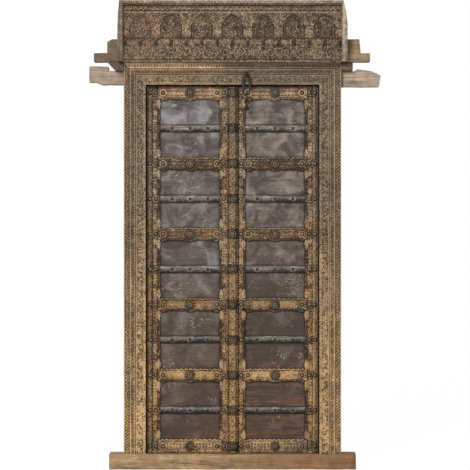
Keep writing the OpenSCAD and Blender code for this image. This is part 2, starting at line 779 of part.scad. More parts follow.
// heights at which studs sit on the stiles: every strap, every rail, and the end rails
stud_levels = concat([for (i = [1:cells]) strap_z(i)], [for (i = [1:cells - 1]) rail_z(i) + rail_h / 2],
    [top_rail_z + top_rail_h / 2, leaf_z + bottom_rail_h / 2]);
// rails that carry studs at their ends
rail_levels = concat([for (i = [1:cells - 1]) rail_z(i) + rail_h / 2],
    [top_rail_z + top_rail_h / 2, leaf_z + bottom_rail_h / 2]);

module studs(side) {
    edge = stud_r + joint_play;
    color(iron_tint)
        on_side(side) {
            for (z = stud_levels) {
                for (x = [right_seam + edge, sight_out + edge])
                    translate([x, leaf_y, z]) dome(stud_r, stud_h);
                translate([half_w - step_w / 2, leaf_y + stile_step, z]) dome(stud_r, stud_h);
            }
            for (z = rail_levels)
                for (x = [sight_in + edge + corner_lobe_h, sight_out - edge - corner_lobe_h])
                    translate([x, leaf_y, z]) dome(stud_r, stud_h);
        }
}

// flower on a plate, with a domed middle
module rosette(r, h) {
    slab(-h * 0.35, h * 0.35) polygon(flower_points(r, 8, 0.16));
    translate([0, overrun - h * 0.35, 0]) dome(r * 0.62, h * 0.65 + overrun);
}

module rosettes(side) {
    color(iron_tint)
        on_side(side)
            for (z = rail_levels)
                translate([(sight_in + sight_out) / 2, leaf_y, z]) rosette(rosette_r, stud_h * 1.4);
}

module left_rosettes() {
    rosettes(-1);
    color(iron_tint)
        for (z = stud_levels)
            translate([0, leaf_y - astragal_t, z]) rosette(boss_r, stud_h * 1.6);
}

module astragal() {
    color(leaf_tint)
        run_z(leaf_z, lintel_z - leaf_gap - leaf_z)
            polygon(concat(
                [for (p = astragal_shares) [p[0] * astragal_w, leaf_y - p[1] * astragal_t]],
                [for (i = [len(astragal_shares) - 1:-1:0])
                    [-astragal_shares[i][0] * astragal_w, leaf_y - astragal_shares[i][1] * astragal_t]]));
}

sill();
left_jamb();
right_jamb();
lintel();
left_pad();
right_pad();
cornice_beam();
frieze_board();
cornice_cap();
left_cheek();
right_cheek();
chain_staple();
chain_hasp();
chain_link();
chain_drop();
hanging_stile(-1);  // left_hanging_stile
meeting_stile(-1, left_seam);  // left_meeting_stile
top_rail(-1);  // left_top_rail
bottom_rail(-1);  // left_bottom_rail
for (i = [1:cells - 1])
    middle_rail(-1, i);
for (i = [1:cells])
    panel(-1, i);
for (i = [1:cells])
    strap(-1, i);
strap_nails(-1);  // left_strap_nails
studs(-1);  // left_studs
left_rosettes();
astragal();
hanging_stile(1);  // right_hanging_stile
meeting_stile(1, right_seam);  // right_meeting_stile
top_rail(1);  // right_top_rail
bottom_rail(1);  // right_bottom_rail
for (i = [1:cells - 1])
    middle_rail(1, i);
for (i = [1:cells])
    panel(1, i);
for (i = [1:cells])
    strap(1, i);
strap_nails(1);  // right_strap_nails
studs(1);  // right_studs
rosettes(1);  // right_rosettes
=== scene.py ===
"""Looks of a carved temple door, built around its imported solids.

Lengths in the classes are millimetres. A piece's mesh is in metres, in the frame's own axes: +X to the
right seen from the carved side, +Y into the wall and +Z up.
"""
import json
import logging
import math
from collections.abc import Callable, Iterable, Sequence
from dataclasses import dataclass, field
from enum import Enum

import bmesh
import bpy
import numpy as np
from mathutils import Matrix, Vector


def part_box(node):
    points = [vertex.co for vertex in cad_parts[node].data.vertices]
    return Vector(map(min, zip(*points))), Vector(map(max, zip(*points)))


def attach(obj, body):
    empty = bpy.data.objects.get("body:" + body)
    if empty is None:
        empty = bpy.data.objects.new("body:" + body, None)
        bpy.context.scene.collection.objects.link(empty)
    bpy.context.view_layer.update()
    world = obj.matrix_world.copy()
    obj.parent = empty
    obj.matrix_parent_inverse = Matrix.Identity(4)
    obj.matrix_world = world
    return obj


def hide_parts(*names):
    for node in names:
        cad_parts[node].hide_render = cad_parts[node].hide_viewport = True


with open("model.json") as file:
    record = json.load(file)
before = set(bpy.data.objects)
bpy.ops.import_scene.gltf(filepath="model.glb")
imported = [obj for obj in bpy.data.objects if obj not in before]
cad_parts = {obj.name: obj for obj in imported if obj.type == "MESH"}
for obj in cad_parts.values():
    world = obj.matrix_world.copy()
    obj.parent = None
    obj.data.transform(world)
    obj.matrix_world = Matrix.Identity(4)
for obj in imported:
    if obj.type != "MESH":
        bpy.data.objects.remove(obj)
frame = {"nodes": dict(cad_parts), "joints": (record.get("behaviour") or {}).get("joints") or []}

Array = np.ndarray
BMesh = bmesh.types.BMesh
Material = bpy.types.Material
Mesh = bpy.types.Mesh
Node = bpy.types.Node
Socket = bpy.types.NodeSocket
Box = tuple[Array, Array]
Colour = tuple[int, int, int]
Places = tuple[Array, Array, Array]
Point = tuple[float, float, float]
Relief = tuple[Array, Array]
Spot = tuple[float, float]

log = logging.getLogger("carved_door")

MM = 0.001
CARVE = "carve"
TINT = "tint"
SHARP_ANGLE = math.radians(42)
ARRIS_ANGLE = math.radians(30)
FLAT_ANGLE = math.radians(1)
ARRIS_LENGTH = 12 * MM
MERGE_DIST = 1e-6
CUT_DIST = 1e-7


class Side(Enum):
    """The two halves of the door."""

    LEFT = -1
    RIGHT = 1

    @property
    def word(self) -> str:
        """The side's name in the names of nodes and bodies."""
        return self.name.lower()


class Grain(Enum):
    """The way that the wood's grain runs, as how finely it is drawn along X, Y and Z."""

    UPRIGHT = (150.0, 150.0, 9.0)
    LEVEL = (9.0, 150.0, 150.0)


def linear(colour: Colour) -> tuple[float, float, float, float]:
    """Linear light of a colour written in display values from 0 to 255."""
    shares = [value / 255 for value in colour]
    return (*[((c + 0.055) / 1.055) ** 2.4 if c > 0.04045 else c / 12.92 for c in shares], 1.0)


class Noise:
    """Smooth seeded noise over points, from -1 to 1."""

    entries = 4096
    primes = (73856093, 19349663, 83492791)

    def __init__(self, seed: int) -> None:
        """Draw the lattice's values.

        Args:
            seed: number that fixes the pattern.
        """
        self.table = np.random.default_rng(seed).random(self.entries)

    def at(self, points: Array, size: float) -> Array:
        """Noise at points.

        Args:
            points: rows of three coordinates.
            size: length of one swell, in the points' unit.

        Returns:
            One value for each row.
        """
        scaled = points / size
        base = np.floor(scaled).astype(np.int64)
        part = scaled - base
        part = part * part * (3 - 2 * part)
        total = np.zeros(len(points))
        for corner in np.ndindex(2, 2, 2):
            key = np.bitwise_xor.reduce((base + corner) * self.primes, axis=1)
            weight = np.prod(np.where(np.array(corner) == 1, part, 1 - part), axis=1)
            total += weight * self.table[key & (self.entries - 1)]
        return total * 2 - 1

    def tendrils(self, points: Array, size: float) -> Array:
        """Winding crests like fine carved foliage, from 0 between them to 1 on them.

        Args:
            points: rows of three coordinates.
            size: distance between the crests, in the points' unit.

        Returns:
            One value for each row.
        """
        push = np.column_stack([self.at(points + shift, size * 1.6) for shift in (31.0, 57.0, 83.0)])
        bent = points + push * size * 0.7
        value = self.at(bent, size)
        step = size * 0.08
        climbs = [self.at(bent + shift, size) - value for shift in ((step, 0, 0), (0, 0, step))]
        slope = np.hypot(*climbs) / step
        return ridge(value / (slope + 0.3 / size), size * 0.24)


def on_face(across: Array, along: Array) -> Array:
    """Places on a front as rows of three coordinates."""
    return np.column_stack([across, np.zeros(across.shape), along])


def ridge(distance: Array, half: float) -> Array:
    """Rounded ridge, 1 at no distance and 0 from half on."""
    return np.sqrt(np.clip(1 - (distance / half) ** 2, 0, 1))


def zigzag(along: Array, pitch: float) -> Array:
    """Straight-sided wave between -1 and 1."""
    return 4 * np.abs((along / pitch) % 1 - 0.5) - 1


def rise(value: Array, low: float, high: float) -> Array:
    """Smooth step from 0 at low to 1 at high."""
    share = np.clip((value - low) / (high - low), 0, 1)
    return share * share * (3 - 2 * share)


class Ornament:
    """Raised strokes on one repeat of a carving, in millimetres across and along."""

    def __init__(self) -> None:
        """Start with a bare ground."""
        self.strokes: list[tuple[Array, float]] = []

    def stroke(self, points: Array, height: float = 1.0) -> None:
        """Add a ridge along rows of place across, place along and half width."""
        self.strokes.append((np.asarray(points, float), height))

    def dot(self, at: Spot, radius: float, height: float = 1.0) -> None:
        """Add a round boss."""
        self.stroke(np.array([(*at, radius), (at[0], at[1] + 0.01, radius)]), height)

    def leaf(self, at: Spot, angle: float, length: float, width: float,
             bend: float = 0.0, height: float = 1.0) -> None:
        """Add a pointed leaf.

        Args:
            at: foot of the leaf.
            angle: its direction, in degrees from along towards across.
            length: length of its rib.
            width: greatest width.
            bend: turn from foot to tip, in degrees.
            height: height of its crest, as a share of the relief.
        """
        share = np.linspace(0, 1, 7)
        turn = np.radians(angle + bend * share)
        pace = length / 6
        across = at[0] + np.concatenate([[0], np.cumsum(np.sin(turn[:-1]) * pace)])
        along = at[1] + np.concatenate([[0], np.cumsum(np.cos(turn[:-1]) * pace)])
        half = width / 2 * np.sin(np.pi * (0.08 + 0.86 * share)) ** 0.8
        self.stroke(np.column_stack([across, along, half]), height)

    def curl(self, at: Spot, radius: float, start: float, turn: float, width: float,
             shrink: float = 0.75, height: float = 1.0) -> None:
        """Add a spiral tendril.

        Args:
            at: its eye.
            radius: distance of its outer end from the eye.
            start: direction of the outer end, in degrees.
            turn: turn from the outer end to the inner one, in degrees.
            width: width of the ridge.
            shrink: share of the radius lost on the way in.
            height: height of its crest, as a share of the relief.
        """
        share = np.linspace(0, 1, max(6, int(abs(turn) / 24)))
        angle = np.radians(start + turn * share)
        reach = radius * (1 - shrink * share)
        across = at[0] + reach * np.sin(angle)
        along = at[1] + reach * np.cos(angle)
        self.stroke(np.column_stack([across, along, np.full(len(share), width / 2)]), height)

    def flower(self, at: Spot, radius: float, petals: int, first: float = 0.0,
               height: float = 1.0) -> None:
        """Add a flower of petals round a boss.

        Args:
            at: its middle.
            radius: length from the middle to the petals' tips.
            petals: number of petals.
            first: direction of the first petal, in degrees.
            height: height of its crests, as a share of the relief.
        """
        for i in range(petals):
            angle = first + 360 * i / petals
            foot = (at[0] + 0.3 * radius * math.sin(math.radians(angle)),
                    at[1] + 0.3 * radius * math.cos(math.radians(angle)))
            self.leaf(foot, angle, radius * 0.8, radius * 4.4 / petals, height=height)
        self.dot(at, radius * 0.28, height)

    def height(self, across: Array, along: Array, pitch: float = 0.0) -> Array:
        """Height of the relief, from 0 to 1.

        Args:
            across: places across the carving.
            along: places along it.
            pitch: length after which it repeats, or 0 where it doesn't.

        Returns:
            One height for each place.
        """
        if pitch:
            folded = along % pitch
            return np.maximum.reduce([self.height(across, folded + shift) for shift in (-pitch, 0, pitch)])
        total = np.zeros(across.shape)
        for points, top in self.strokes:
            reach = points[:, 2].max()
            low = points[:, :2].min(0) - reach
            high = points[:, :2].max(0) + reach
            within = (across > low[0]) & (across < high[0])
            near = np.flatnonzero(within & (along > low[1]) & (along < high[1]))
            if near.size == 0:
                continue
            best = np.zeros(near.size)
            for a, b in zip(points, points[1:]):
                run = b[:2] - a[:2]
                u, v = across[near] - a[0], along[near] - a[1]
                share = np.clip((u * run[0] + v * run[1]) / max(run @ run, 1e-9), 0, 1)
                away = np.hypot(u - share * run[0], v - share * run[1])
                half = np.maximum(a[2] + share * (b[2] - a[2]), 0.05)
                best = np.maximum(best, 1 - (away / half) ** 2)
            total[near] = np.maximum(total[near], top * best ** 0.38)
        return total


@dataclass
class Section:
    """Closed outline of a member: carved columns across its front, then plain columns back round."""

    front: Array
    corners: Sequence[tuple[float, ...]]
    pace: float = 12.0
    carve: float = 0.55
    plain: Array = field(init=False)

    def __post_init__(self) -> None:
        """Place the plain columns between the corners, which start and end at the front's two edges.

        A corner is a place across, a depth and, where it differs from the section's, a carve value.
        """
        stops = np.array([(*c, self.carve)[:3] for c in self.corners])
        spots = []
        for a, b in zip(stops, stops[1:]):
            count = max(1, round(math.dist(a[:2], b[:2]) / self.pace))
            spots += [a + (b - a) * i / count for i in range(count)]
        self.plain = np.array(spots[1:])

    @property
    def count(self) -> int:
        """Number of columns."""
        return len(self.front) + len(self.plain)


Along = Callable[[Array, Array], Array]
Carving = Callable[[Array, Array], Relief]
Placing = Callable[[Array, Array, Array], Places]
Tinting = Callable[[Array, Array], Array]


def spread(low: float, high: float, pace: float) -> Array:
    """Evenly spaced places from low to high, about a pace apart."""
    return np.linspace(low, high, max(2, round((high - low) / pace) + 1))


def as_mesh(build: BMesh, name: str) -> Mesh:
    """A mesh of what was built, which is then freed.

    Args:
        build: what was built.
        name: name of the mesh.

    Returns:
        The new mesh.
    """
    mesh = bpy.data.meshes.new(name)
    build.to_mesh(mesh)
    build.free()
    return mesh


def copy_of(node: str) -> BMesh:
    """A node's solids with their loose triangles merged.

    Args:
        node: name of the node.

    Returns:
        A copy to work on.
    """
    build = bmesh.new()
    build.from_mesh(frame["nodes"][node].data)
    bmesh.ops.remove_doubles(build, verts=build.verts, dist=MERGE_DIST)
    return build


def cut_through(build: BMesh, point: Sequence[float], normal: Sequence[float], clear: bool = False) -> None:
    """Cut everything along a plane, and clear what lies on its normal's side if asked to."""
    bmesh.ops.bisect_plane(build, geom=[*build.verts, *build.edges, *build.faces], dist=CUT_DIST,
                           plane_co=point, plane_no=normal, clear_outer=clear)


def close_holes(build: BMesh) -> None:
    """Close the open ends."""
    bmesh.ops.holes_fill(build, edges=[e for e in build.edges if e.is_boundary], sides=0)


def round_edges(build: BMesh, edges: Sequence[bmesh.types.BMEdge], offset: float) -> None:
    """Round off edges."""
    bmesh.ops.bevel(build, geom=edges, offset=offset, offset_type="OFFSET", segments=2, profile=0.5,
                    affect="EDGES", material=-1, clamp_overlap=True)


def spin_line(build: BMesh, line: Sequence[tuple[float, ...]], centre: tuple[float, ...],
              axis: tuple[float, ...], steps: int) -> None:
    """Turn a line of points once round an axis.

    Args:
        build: where the new faces go.
        line: points of the line.
        centre: a point on the axis.
        axis: direction of the axis.
        steps: number of faces round it.
    """
    verts = [build.verts.new(point) for point in line]
    edges = [build.edges.new(pair) for pair in zip(verts, verts[1:])]
    bmesh.ops.spin(build, geom=[*verts, *edges], cent=centre, axis=axis, angle=2 * math.pi, steps=steps,
                   use_merge=True)


def to_metres(build: BMesh) -> None:
    """Bring what was built in millimetres to metres."""
    bmesh.ops.scale(build, vec=(MM, MM, MM), verts=build.verts)


def shade(build: BMesh) -> None:
    """Smooth the faces and keep the arrises sharp.

    Args:
        build: what was built.
    """
    for face in build.faces:
        face.smooth = True
    for edge in build.edges:
        edge.smooth = edge.calc_face_angle(0.0) < SHARP_ANGLE


def tidy_faces(build: BMesh) -> None:
    """Merge doubles, close the ends, point the faces outwards and keep the arrises sharp.

    Args:
        build: what was built.
    """
    bmesh.ops.remove_doubles(build, verts=build.verts, dist=MERGE_DIST)
    close_holes(build)
    bmesh.ops.triangulate(build, faces=[f for f in build.faces if len(f.verts) > 4])
    bmesh.ops.recalc_face_normals(build, faces=build.faces)
    shade(build)


def write_values(mesh: Mesh, name: str, values: Array) -> None:
    """Keep one value for each point of a mesh."""
    mesh.attributes.new(name, "FLOAT", "POINT").data.foreach_set("value", values.astype(np.float32))


def member(section: Section, length: float, pace: float, along: Along, carving: Carving, placing: Placing,
           tinting: Tinting | None = None) -> Mesh:
    """Run a section along a member and carve its front.

    Args:
        section: columns of the member's outline.
        length: length of the member.
        pace: length of one row.
        along: place along the member of a column's place across and a share of the length.
        carving: depth and carve value at places across and along the front.
        placing: place in the frame of places across, depths and places along.
        tinting: how much of the finish's second colour shows at places across and along the front.

    Returns:
        A closed mesh in metres, with the carve and tint values on its points.
    """
    rows = round(length / pace)
    build = bmesh.new()
    bmesh.ops.create_grid(build, x_segments=section.count, y_segments=rows, size=0.5)
    mesh = as_mesh(build, "member")
    flat = np.empty(len(mesh.vertices) * 3, np.float32)
    mesh.vertices.foreach_get("co", flat)
    flat = flat.reshape(-1, 3)
    column = np.rint((flat[:, 0] + 0.5) * section.count).astype(int) % section.count
    share = flat[:, 1].astype(float) + 0.5
    is_front = column < len(section.front)
    across = np.concatenate([section.front, section.plain[:, 0]])[column]
    depth = np.concatenate([np.zeros(len(section.front)), section.plain[:, 1]])[column]
    carve = np.concatenate([np.zeros(len(section.front)), section.plain[:, 2]])[column]
    place = along(across, share)
    depth[is_front], carve[is_front] = carving(across[is_front], place[is_front])
    x, y, z = placing(across, depth, place)
    mesh.vertices.foreach_set("co", (np.column_stack([x, y, z]) * MM).astype(np.float32).ravel())
    write_values(mesh, CARVE, carve)
    if tinting:
        tint = np.zeros(len(column))
        tint[is_front] = tinting(across[is_front], place[is_front])
        write_values(mesh, TINT, tint)
    build = bmesh.new()
    build.from_mesh(mesh)
    plain = {vert for vert, carved in zip(build.verts, is_front) if not carved}
    bmesh.ops.dissolve_limit(build, angle_limit=FLAT_ANGLE / 2, verts=list(plain),
                             edges=[e for e in build.edges if plain.intersection(e.verts)])
    tidy_faces(build)
    build.to_mesh(mesh)
    build.free()
    return mesh


def weathered(node: str, cuts: Sequence[tuple[Point, Point]] = (), round_off: float = 2.0,
              swell: float = 0.8, pace: float = 22.0, seed: int = 1) -> Mesh:
    """A worn copy of a node: its edges are rounded off and its faces swell a little.

    Args:
        node: name of the node.
        cuts: points and normals of planes; what lies on the normals' side is cut away.
        round_off: rounding of the edges.
        swell: height of the unevenness.
        pace: size of the cells into which the faces are cut.
        seed: number that fixes the unevenness.

    Returns:
        A closed mesh in metres.
    """
    build = copy_of(node)
    for point, normal in cuts:
        cut_through(build, Vector(point) * MM, normal, True)
        close_holes(build)
    bmesh.ops.dissolve_limit(build, angle_limit=FLAT_ANGLE, verts=build.verts, edges=build.edges)
    arrises = [e for e in build.edges if len(e.link_faces) == 2 and e.is_convex
               and e.calc_face_angle(0.0) > ARRIS_ANGLE and e.calc_length() > ARRIS_LENGTH]
    round_edges(build, arrises, round_off * MM)
    bmesh.ops.triangulate(build, faces=build.faces)
    spots = np.array([v.co for v in build.verts])
    for axis in range(3):
        normal = [float(axis == k) for k in range(3)]
        for place in spread(spots[:, axis].min(), spots[:, axis].max(), pace * MM)[1:-1]:
            cut_through(build, [place * n for n in normal], normal)
    build.normal_update()
    bumps = Noise(seed)
    spots = np.array([v.co for v in build.verts]) / MM
    height = swell * (bumps.at(spots, 60) + 0.5 * bumps.at(spots, 18))
    for vert, lift in zip(build.verts, height):
        vert.co += vert.normal * (lift * MM)
    bmesh.ops.triangulate(build, faces=[f for f in build.faces if len(f.verts) > 4])
    shade(build)
    return as_mesh(build, node)


def joined(meshes: Iterable[Mesh]) -> Mesh:
    """One mesh of several, which are then removed.

    Args:
        meshes: the meshes to join.

    Returns:
        A new mesh.
    """
    build = bmesh.new()
    for mesh in meshes:
        build.from_mesh(mesh)
        bpy.data.meshes.remove(mesh)
    return as_mesh(build, "joined")


def solids_of(node: str) -> list[Box]:
    """Boxes of the separate solids of a node.

    Args:
        node: name of the node.

    Returns:
        Lowest and highest corner of each solid, in millimetres.
    """
    build = copy_of(node)
    waiting = set(build.verts)
    found = []
    while waiting:
        reached = [waiting.pop()]
        solid = []
        while reached:
            vert = reached.pop()
            solid.append(vert.co.copy() / MM)
            for edge in vert.link_edges:
                other = edge.other_vert(vert)
                if other in waiting:
                    waiting.discard(other)
                    reached.append(other)
        spots = np.array(solid)
        found.append((spots.min(0), spots.max(0)))
    build.free()
    return sorted(found, key=lambda box: tuple(np.round(box[0], 1)))


def corners_of(node: str) -> Box:
    """Lowest and highest corner of a node, in millimetres."""
    low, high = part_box(node)
    return np.array(low) / MM, np.array(high) / MM


def add_piece(name: str, mesh: Mesh, body: str, slot: str, finish: "Finish", *stands_for: str) -> None:
    """Put a finished mesh into the scene.

    Args:
        name: name of the piece.
        mesh: its mesh, in the frame's place.
        body: body that carries it.
        slot: not used.
        finish: its finish.
        stands_for: nodes that it replaces.
    """
    mesh.name = name
    mesh.materials.clear()
    mesh.materials.append(finish.material())
    piece = bpy.data.objects.new(name, mesh)
    bpy.context.scene.collection.objects.link(piece)
    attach(piece, body)
    if stands_for:
        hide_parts(*stands_for)
    log.info("%s: %d faces on %s", name, len(mesh.polygons), body)


def dress_node(node: str, finish: "Finish") -> None:
    """Give a node that stays in view its finish.

    Args:
        node: name of the node.
        finish: its finish.
    """
    mesh = frame["nodes"][node].data
    mesh.materials.clear()
    mesh.materials.append(finish.material())
    log.info("%s: keeps its solid", node)


class Graph:
    """Adds nodes to one tree and links them."""

    def __init__(self, tree: bpy.types.NodeTree) -> None:
        """Work on a tree.

        Args:
            tree: the tree of a material, a world or a group.
        """
        self.tree = tree

    def add(self, kind: str, **settings: object) -> Node:
        """A new node with its settings."""
        node = self.tree.nodes.new(kind)
        for key, value in settings.items():
            setattr(node, key, value)
        return node

    def feed(self, socket: Socket, value: object) -> None:
        """Link a socket to another, or set its value."""
        if isinstance(value, bpy.types.NodeSocket):
            self.tree.links.new(value, socket)
        else:
            socket.default_value = value

    def maths(self, operation: str, *values: object, clamp: bool = False) -> Socket:
        """Result of a sum of two or three values."""
        node = self.add("ShaderNodeMath", operation=operation, use_clamp=clamp)
        for socket, value in zip(node.inputs, values):
            self.feed(socket, value)
        return node.outputs[0]

    def mix(self, factor: object, a: object, b: object, blend: str = "MIX") -> Socket:
        """Blend of two colours."""
        node = self.add("ShaderNodeMix", data_type="RGBA", blend_type=blend)
        self.feed(node.inputs[0], factor)
        self.feed(node.inputs[6], a)
        self.feed(node.inputs[7], b)
        return node.outputs[2]

    def smooth(self, value: Socket, low: float, high: float, out: tuple[float, float] = (0.0, 1.0)) -> Socket:
        """Smooth step of a value between two limits."""
        node = self.add("ShaderNodeMapRange", interpolation_type="SMOOTHSTEP")
        for socket, amount in zip(node.inputs, (value, low, high, *out)):
            self.feed(socket, amount)
        return node.outputs[0]

    def noise(self, place: Socket, scale: float, detail: float = 3.0, rough: float = 0.55,
              twist: float = 0.0) -> Socket:
        """Cloudy noise between 0 and 1."""
        node = self.add("ShaderNodeTexNoise")
        self.feed(node.inputs["Vector"], place)
        for key, value in {"Scale": scale, "Detail": detail, "Roughness": rough, "Distortion": twist}.items():
            self.feed(node.inputs[key], value)
        return node.outputs[0]

    def stretched(self, place: Socket, scale: object) -> Socket:
        """Places drawn out by a factor on each axis."""
        node = self.add("ShaderNodeVectorMath", operation="MULTIPLY")
        self.feed(node.inputs[0], place)
        self.feed(node.inputs[1], scale)
        return node.outputs[0]

    def warped(self, place: Socket, scale: float, amount: float) -> Socket:
        """Places pushed about by noise."""
        noise = self.add("ShaderNodeTexNoise")
        self.feed(noise.inputs["Vector"], place)
        self.feed(noise.inputs["Scale"], scale)
        push = self.stretched(noise.outputs["Color"], (amount, amount, amount))
        node = self.add("ShaderNodeVectorMath", operation="ADD")
        self.feed(node.inputs[0], place)
        self.feed(node.inputs[1], push)
        return node.outputs[0]

    def group(self, tree: bpy.types.NodeTree, values: dict[str, object]) -> Node:
        """A group node with the values of its inputs."""
        node = self.add("ShaderNodeGroup", node_tree=tree)
        for key, value in values.items():
            self.feed(node.inputs[key], value)
        return node

    def kept(self, name: str) -> Socket:
        """Values kept on the piece's points."""
        return self.add("ShaderNodeAttribute", attribute_type="GEOMETRY", attribute_name=name).outputs["Fac"]

    def object_place(self) -> Socket:
        """Places on the piece itself."""
        return self.add("ShaderNodeTexCoord").outputs["Object"]


SOCKET_KINDS = {float: "NodeSocketFloat", tuple: "NodeSocketColor", Vector: "NodeSocketVector"}
PAINTED_SHADOW_BLACK = (0.004, 0.003, 0.002, 1.0)
EDGE_BLACK = (0.006, 0.005, 0.004, 1.0)
PAINTED_GLINT_GREY = (0.47, 0.48, 0.48, 1.0)


def new_group(name: str, inputs: dict[str, object],
              outputs: dict[str, type]) -> tuple[Graph, dict[str, Socket], Node]:
    """Start a shader node group.

    Args:
        name: name of the group.
        inputs: names and default values of its inputs.
        outputs: names and kinds of its outputs.

    Returns:
        The group's graph, its input sockets by name and its output node.
    """
    tree = bpy.data.node_groups.new(name, "ShaderNodeTree")
    for key, value in inputs.items():
        socket = tree.interface.new_socket(key, in_out="INPUT", socket_type=SOCKET_KINDS[type(value)])
        socket.default_value = value
    for key, kind in outputs.items():
        tree.interface.new_socket(key, in_out="OUTPUT", socket_type=SOCKET_KINDS[kind])
    graph = Graph(tree)
    entry = graph.add("NodeGroupInput")
    return graph, {key: entry.outputs[key] for key in inputs}, graph.add("NodeGroupOutput")


def wood_group() -> bpy.types.NodeTree:
    """Old carved wood: grain, patina, darkening in the cuts that is partly dirt and partly painted shade, and
    wear on the crests.
    """
    name = "old_wood"
    if name in bpy.data.node_groups:
        return bpy.data.node_groups[name]
    grey = (0.2, 0.2, 0.2, 1.0)
    graph, entry, out = new_group(
        name,
        {"Grain": Vector(Grain.UPRIGHT.value), "Slope": Vector((0, 0, 0.54)), "Start": 0.0, "Low": grey,
         "High": grey, "Deep": grey, "Pale": grey, "Patina": grey, "Carve": 0.6, "Dirt": 0.8, "Wear": 0.6,
         "Fade": 0.5, "Contrast": 1.0, "Chips": 0.0, "Tint": 0.0, "Tinge": grey},
        {"Color": tuple, "Roughness": float, "Height": float})
    place = graph.object_place()
    lean = graph.add("ShaderNodeVectorMath", operation="DOT_PRODUCT")
    graph.feed(lean.inputs[0], place)
    graph.feed(lean.inputs[1], entry["Slope"])
    climb = graph.smooth(graph.maths("ADD", lean.outputs["Value"], entry["Start"]), 0.0, 1.0)
    ground = graph.mix(climb, entry["Low"], entry["High"])
    ground = graph.mix(entry["Tint"], ground, entry["Tinge"])
    drawn = graph.stretched(place, entry["Grain"])
    fine = graph.noise(drawn, 1.0, 6.0, 0.7, 0.3)
    streak = graph.noise(drawn, 0.24, 3.0, 0.6, 0.8)
    cloud = graph.noise(place, 7.0, 4.0, 0.6)
    patch = graph.noise(place, 31.0, 3.0, 0.6)
    speck = graph.noise(place, 230.0, 2.0, 0.6)
    lines = graph.smooth(fine, 0.3, 0.7, (-0.22, 0.22))
    for noise, low, high, span in ((streak, 0.3, 0.7, (-0.2, 0.2)), (patch, 0.3, 0.72, (-0.1, 0.1)),
                                   (streak, 0.4, 0.3, (0.0, -0.3))):
        lines = graph.maths("ADD", lines, graph.smooth(noise, low, high, span))
    lines = graph.maths("MULTIPLY", lines, entry["Contrast"])
    tone = graph.maths("ADD", lines, 1.0)
    ground = graph.mix(1.0, ground, tone, "MULTIPLY")
    faded = graph.maths("MULTIPLY", graph.smooth(cloud, 0.42, 0.66), entry["Fade"])
    ground = graph.mix(faded, ground, entry["Patina"])
    broken = graph.maths("ADD", entry["Carve"], graph.smooth(speck, 0.2, 0.8, (-0.32, 0.32)))
    broken = graph.maths("ADD", broken, graph.smooth(patch, 0.3, 0.7, (-0.08, 0.08)))
    cell = graph.add("ShaderNodeTexVoronoi", feature="F1")
    graph.feed(cell.inputs["Vector"], graph.warped(place, 60.0, 0.012))
    graph.feed(cell.inputs["Scale"], 150.0)
    chip = graph.smooth(cell.outputs["Distance"], 0.28, 0.62, (0.12, -0.5))
    chip = graph.maths("MULTIPLY", chip, entry["Chips"])
    # Random pale flecks on the crests are partly wear and partly painted highlights.
    broken = graph.maths("ADD", graph.maths("ADD", broken, chip), graph.smooth(speck, 0.6, 0.72, (0.0, 0.3)))
    # Low carve values darken towards Deep: partly dirt in the cuts, partly painted shade.
    dirt = graph.maths("MULTIPLY", graph.smooth(broken, 0.5, 0.05), entry["Dirt"])
    wear = graph.maths("MULTIPLY", graph.smooth(broken, 0.66, 1.12), entry["Wear"])
    colour = graph.mix(dirt, ground, entry["Deep"])
    colour = graph.mix(wear, colour, entry["Pale"])
    # Carve values below zero paint a black shadow where gaps and quirks should read dark.
    painted_shadow = graph.smooth(entry["Carve"], 0.0, -0.6)
    graph.feed(out.inputs["Color"], graph.mix(painted_shadow, colour, PAINTED_SHADOW_BLACK))
    graph.feed(out.inputs["Roughness"], graph.smooth(fine, 0.2, 0.8, (0.58, 0.86)))
    pits = graph.maths("MULTIPLY_ADD", speck, 0.3, graph.maths("MULTIPLY", chip, 2.0))
    graph.feed(out.inputs["Height"], graph.maths("MULTIPLY_ADD", fine, 0.7, pits))
    return graph.tree


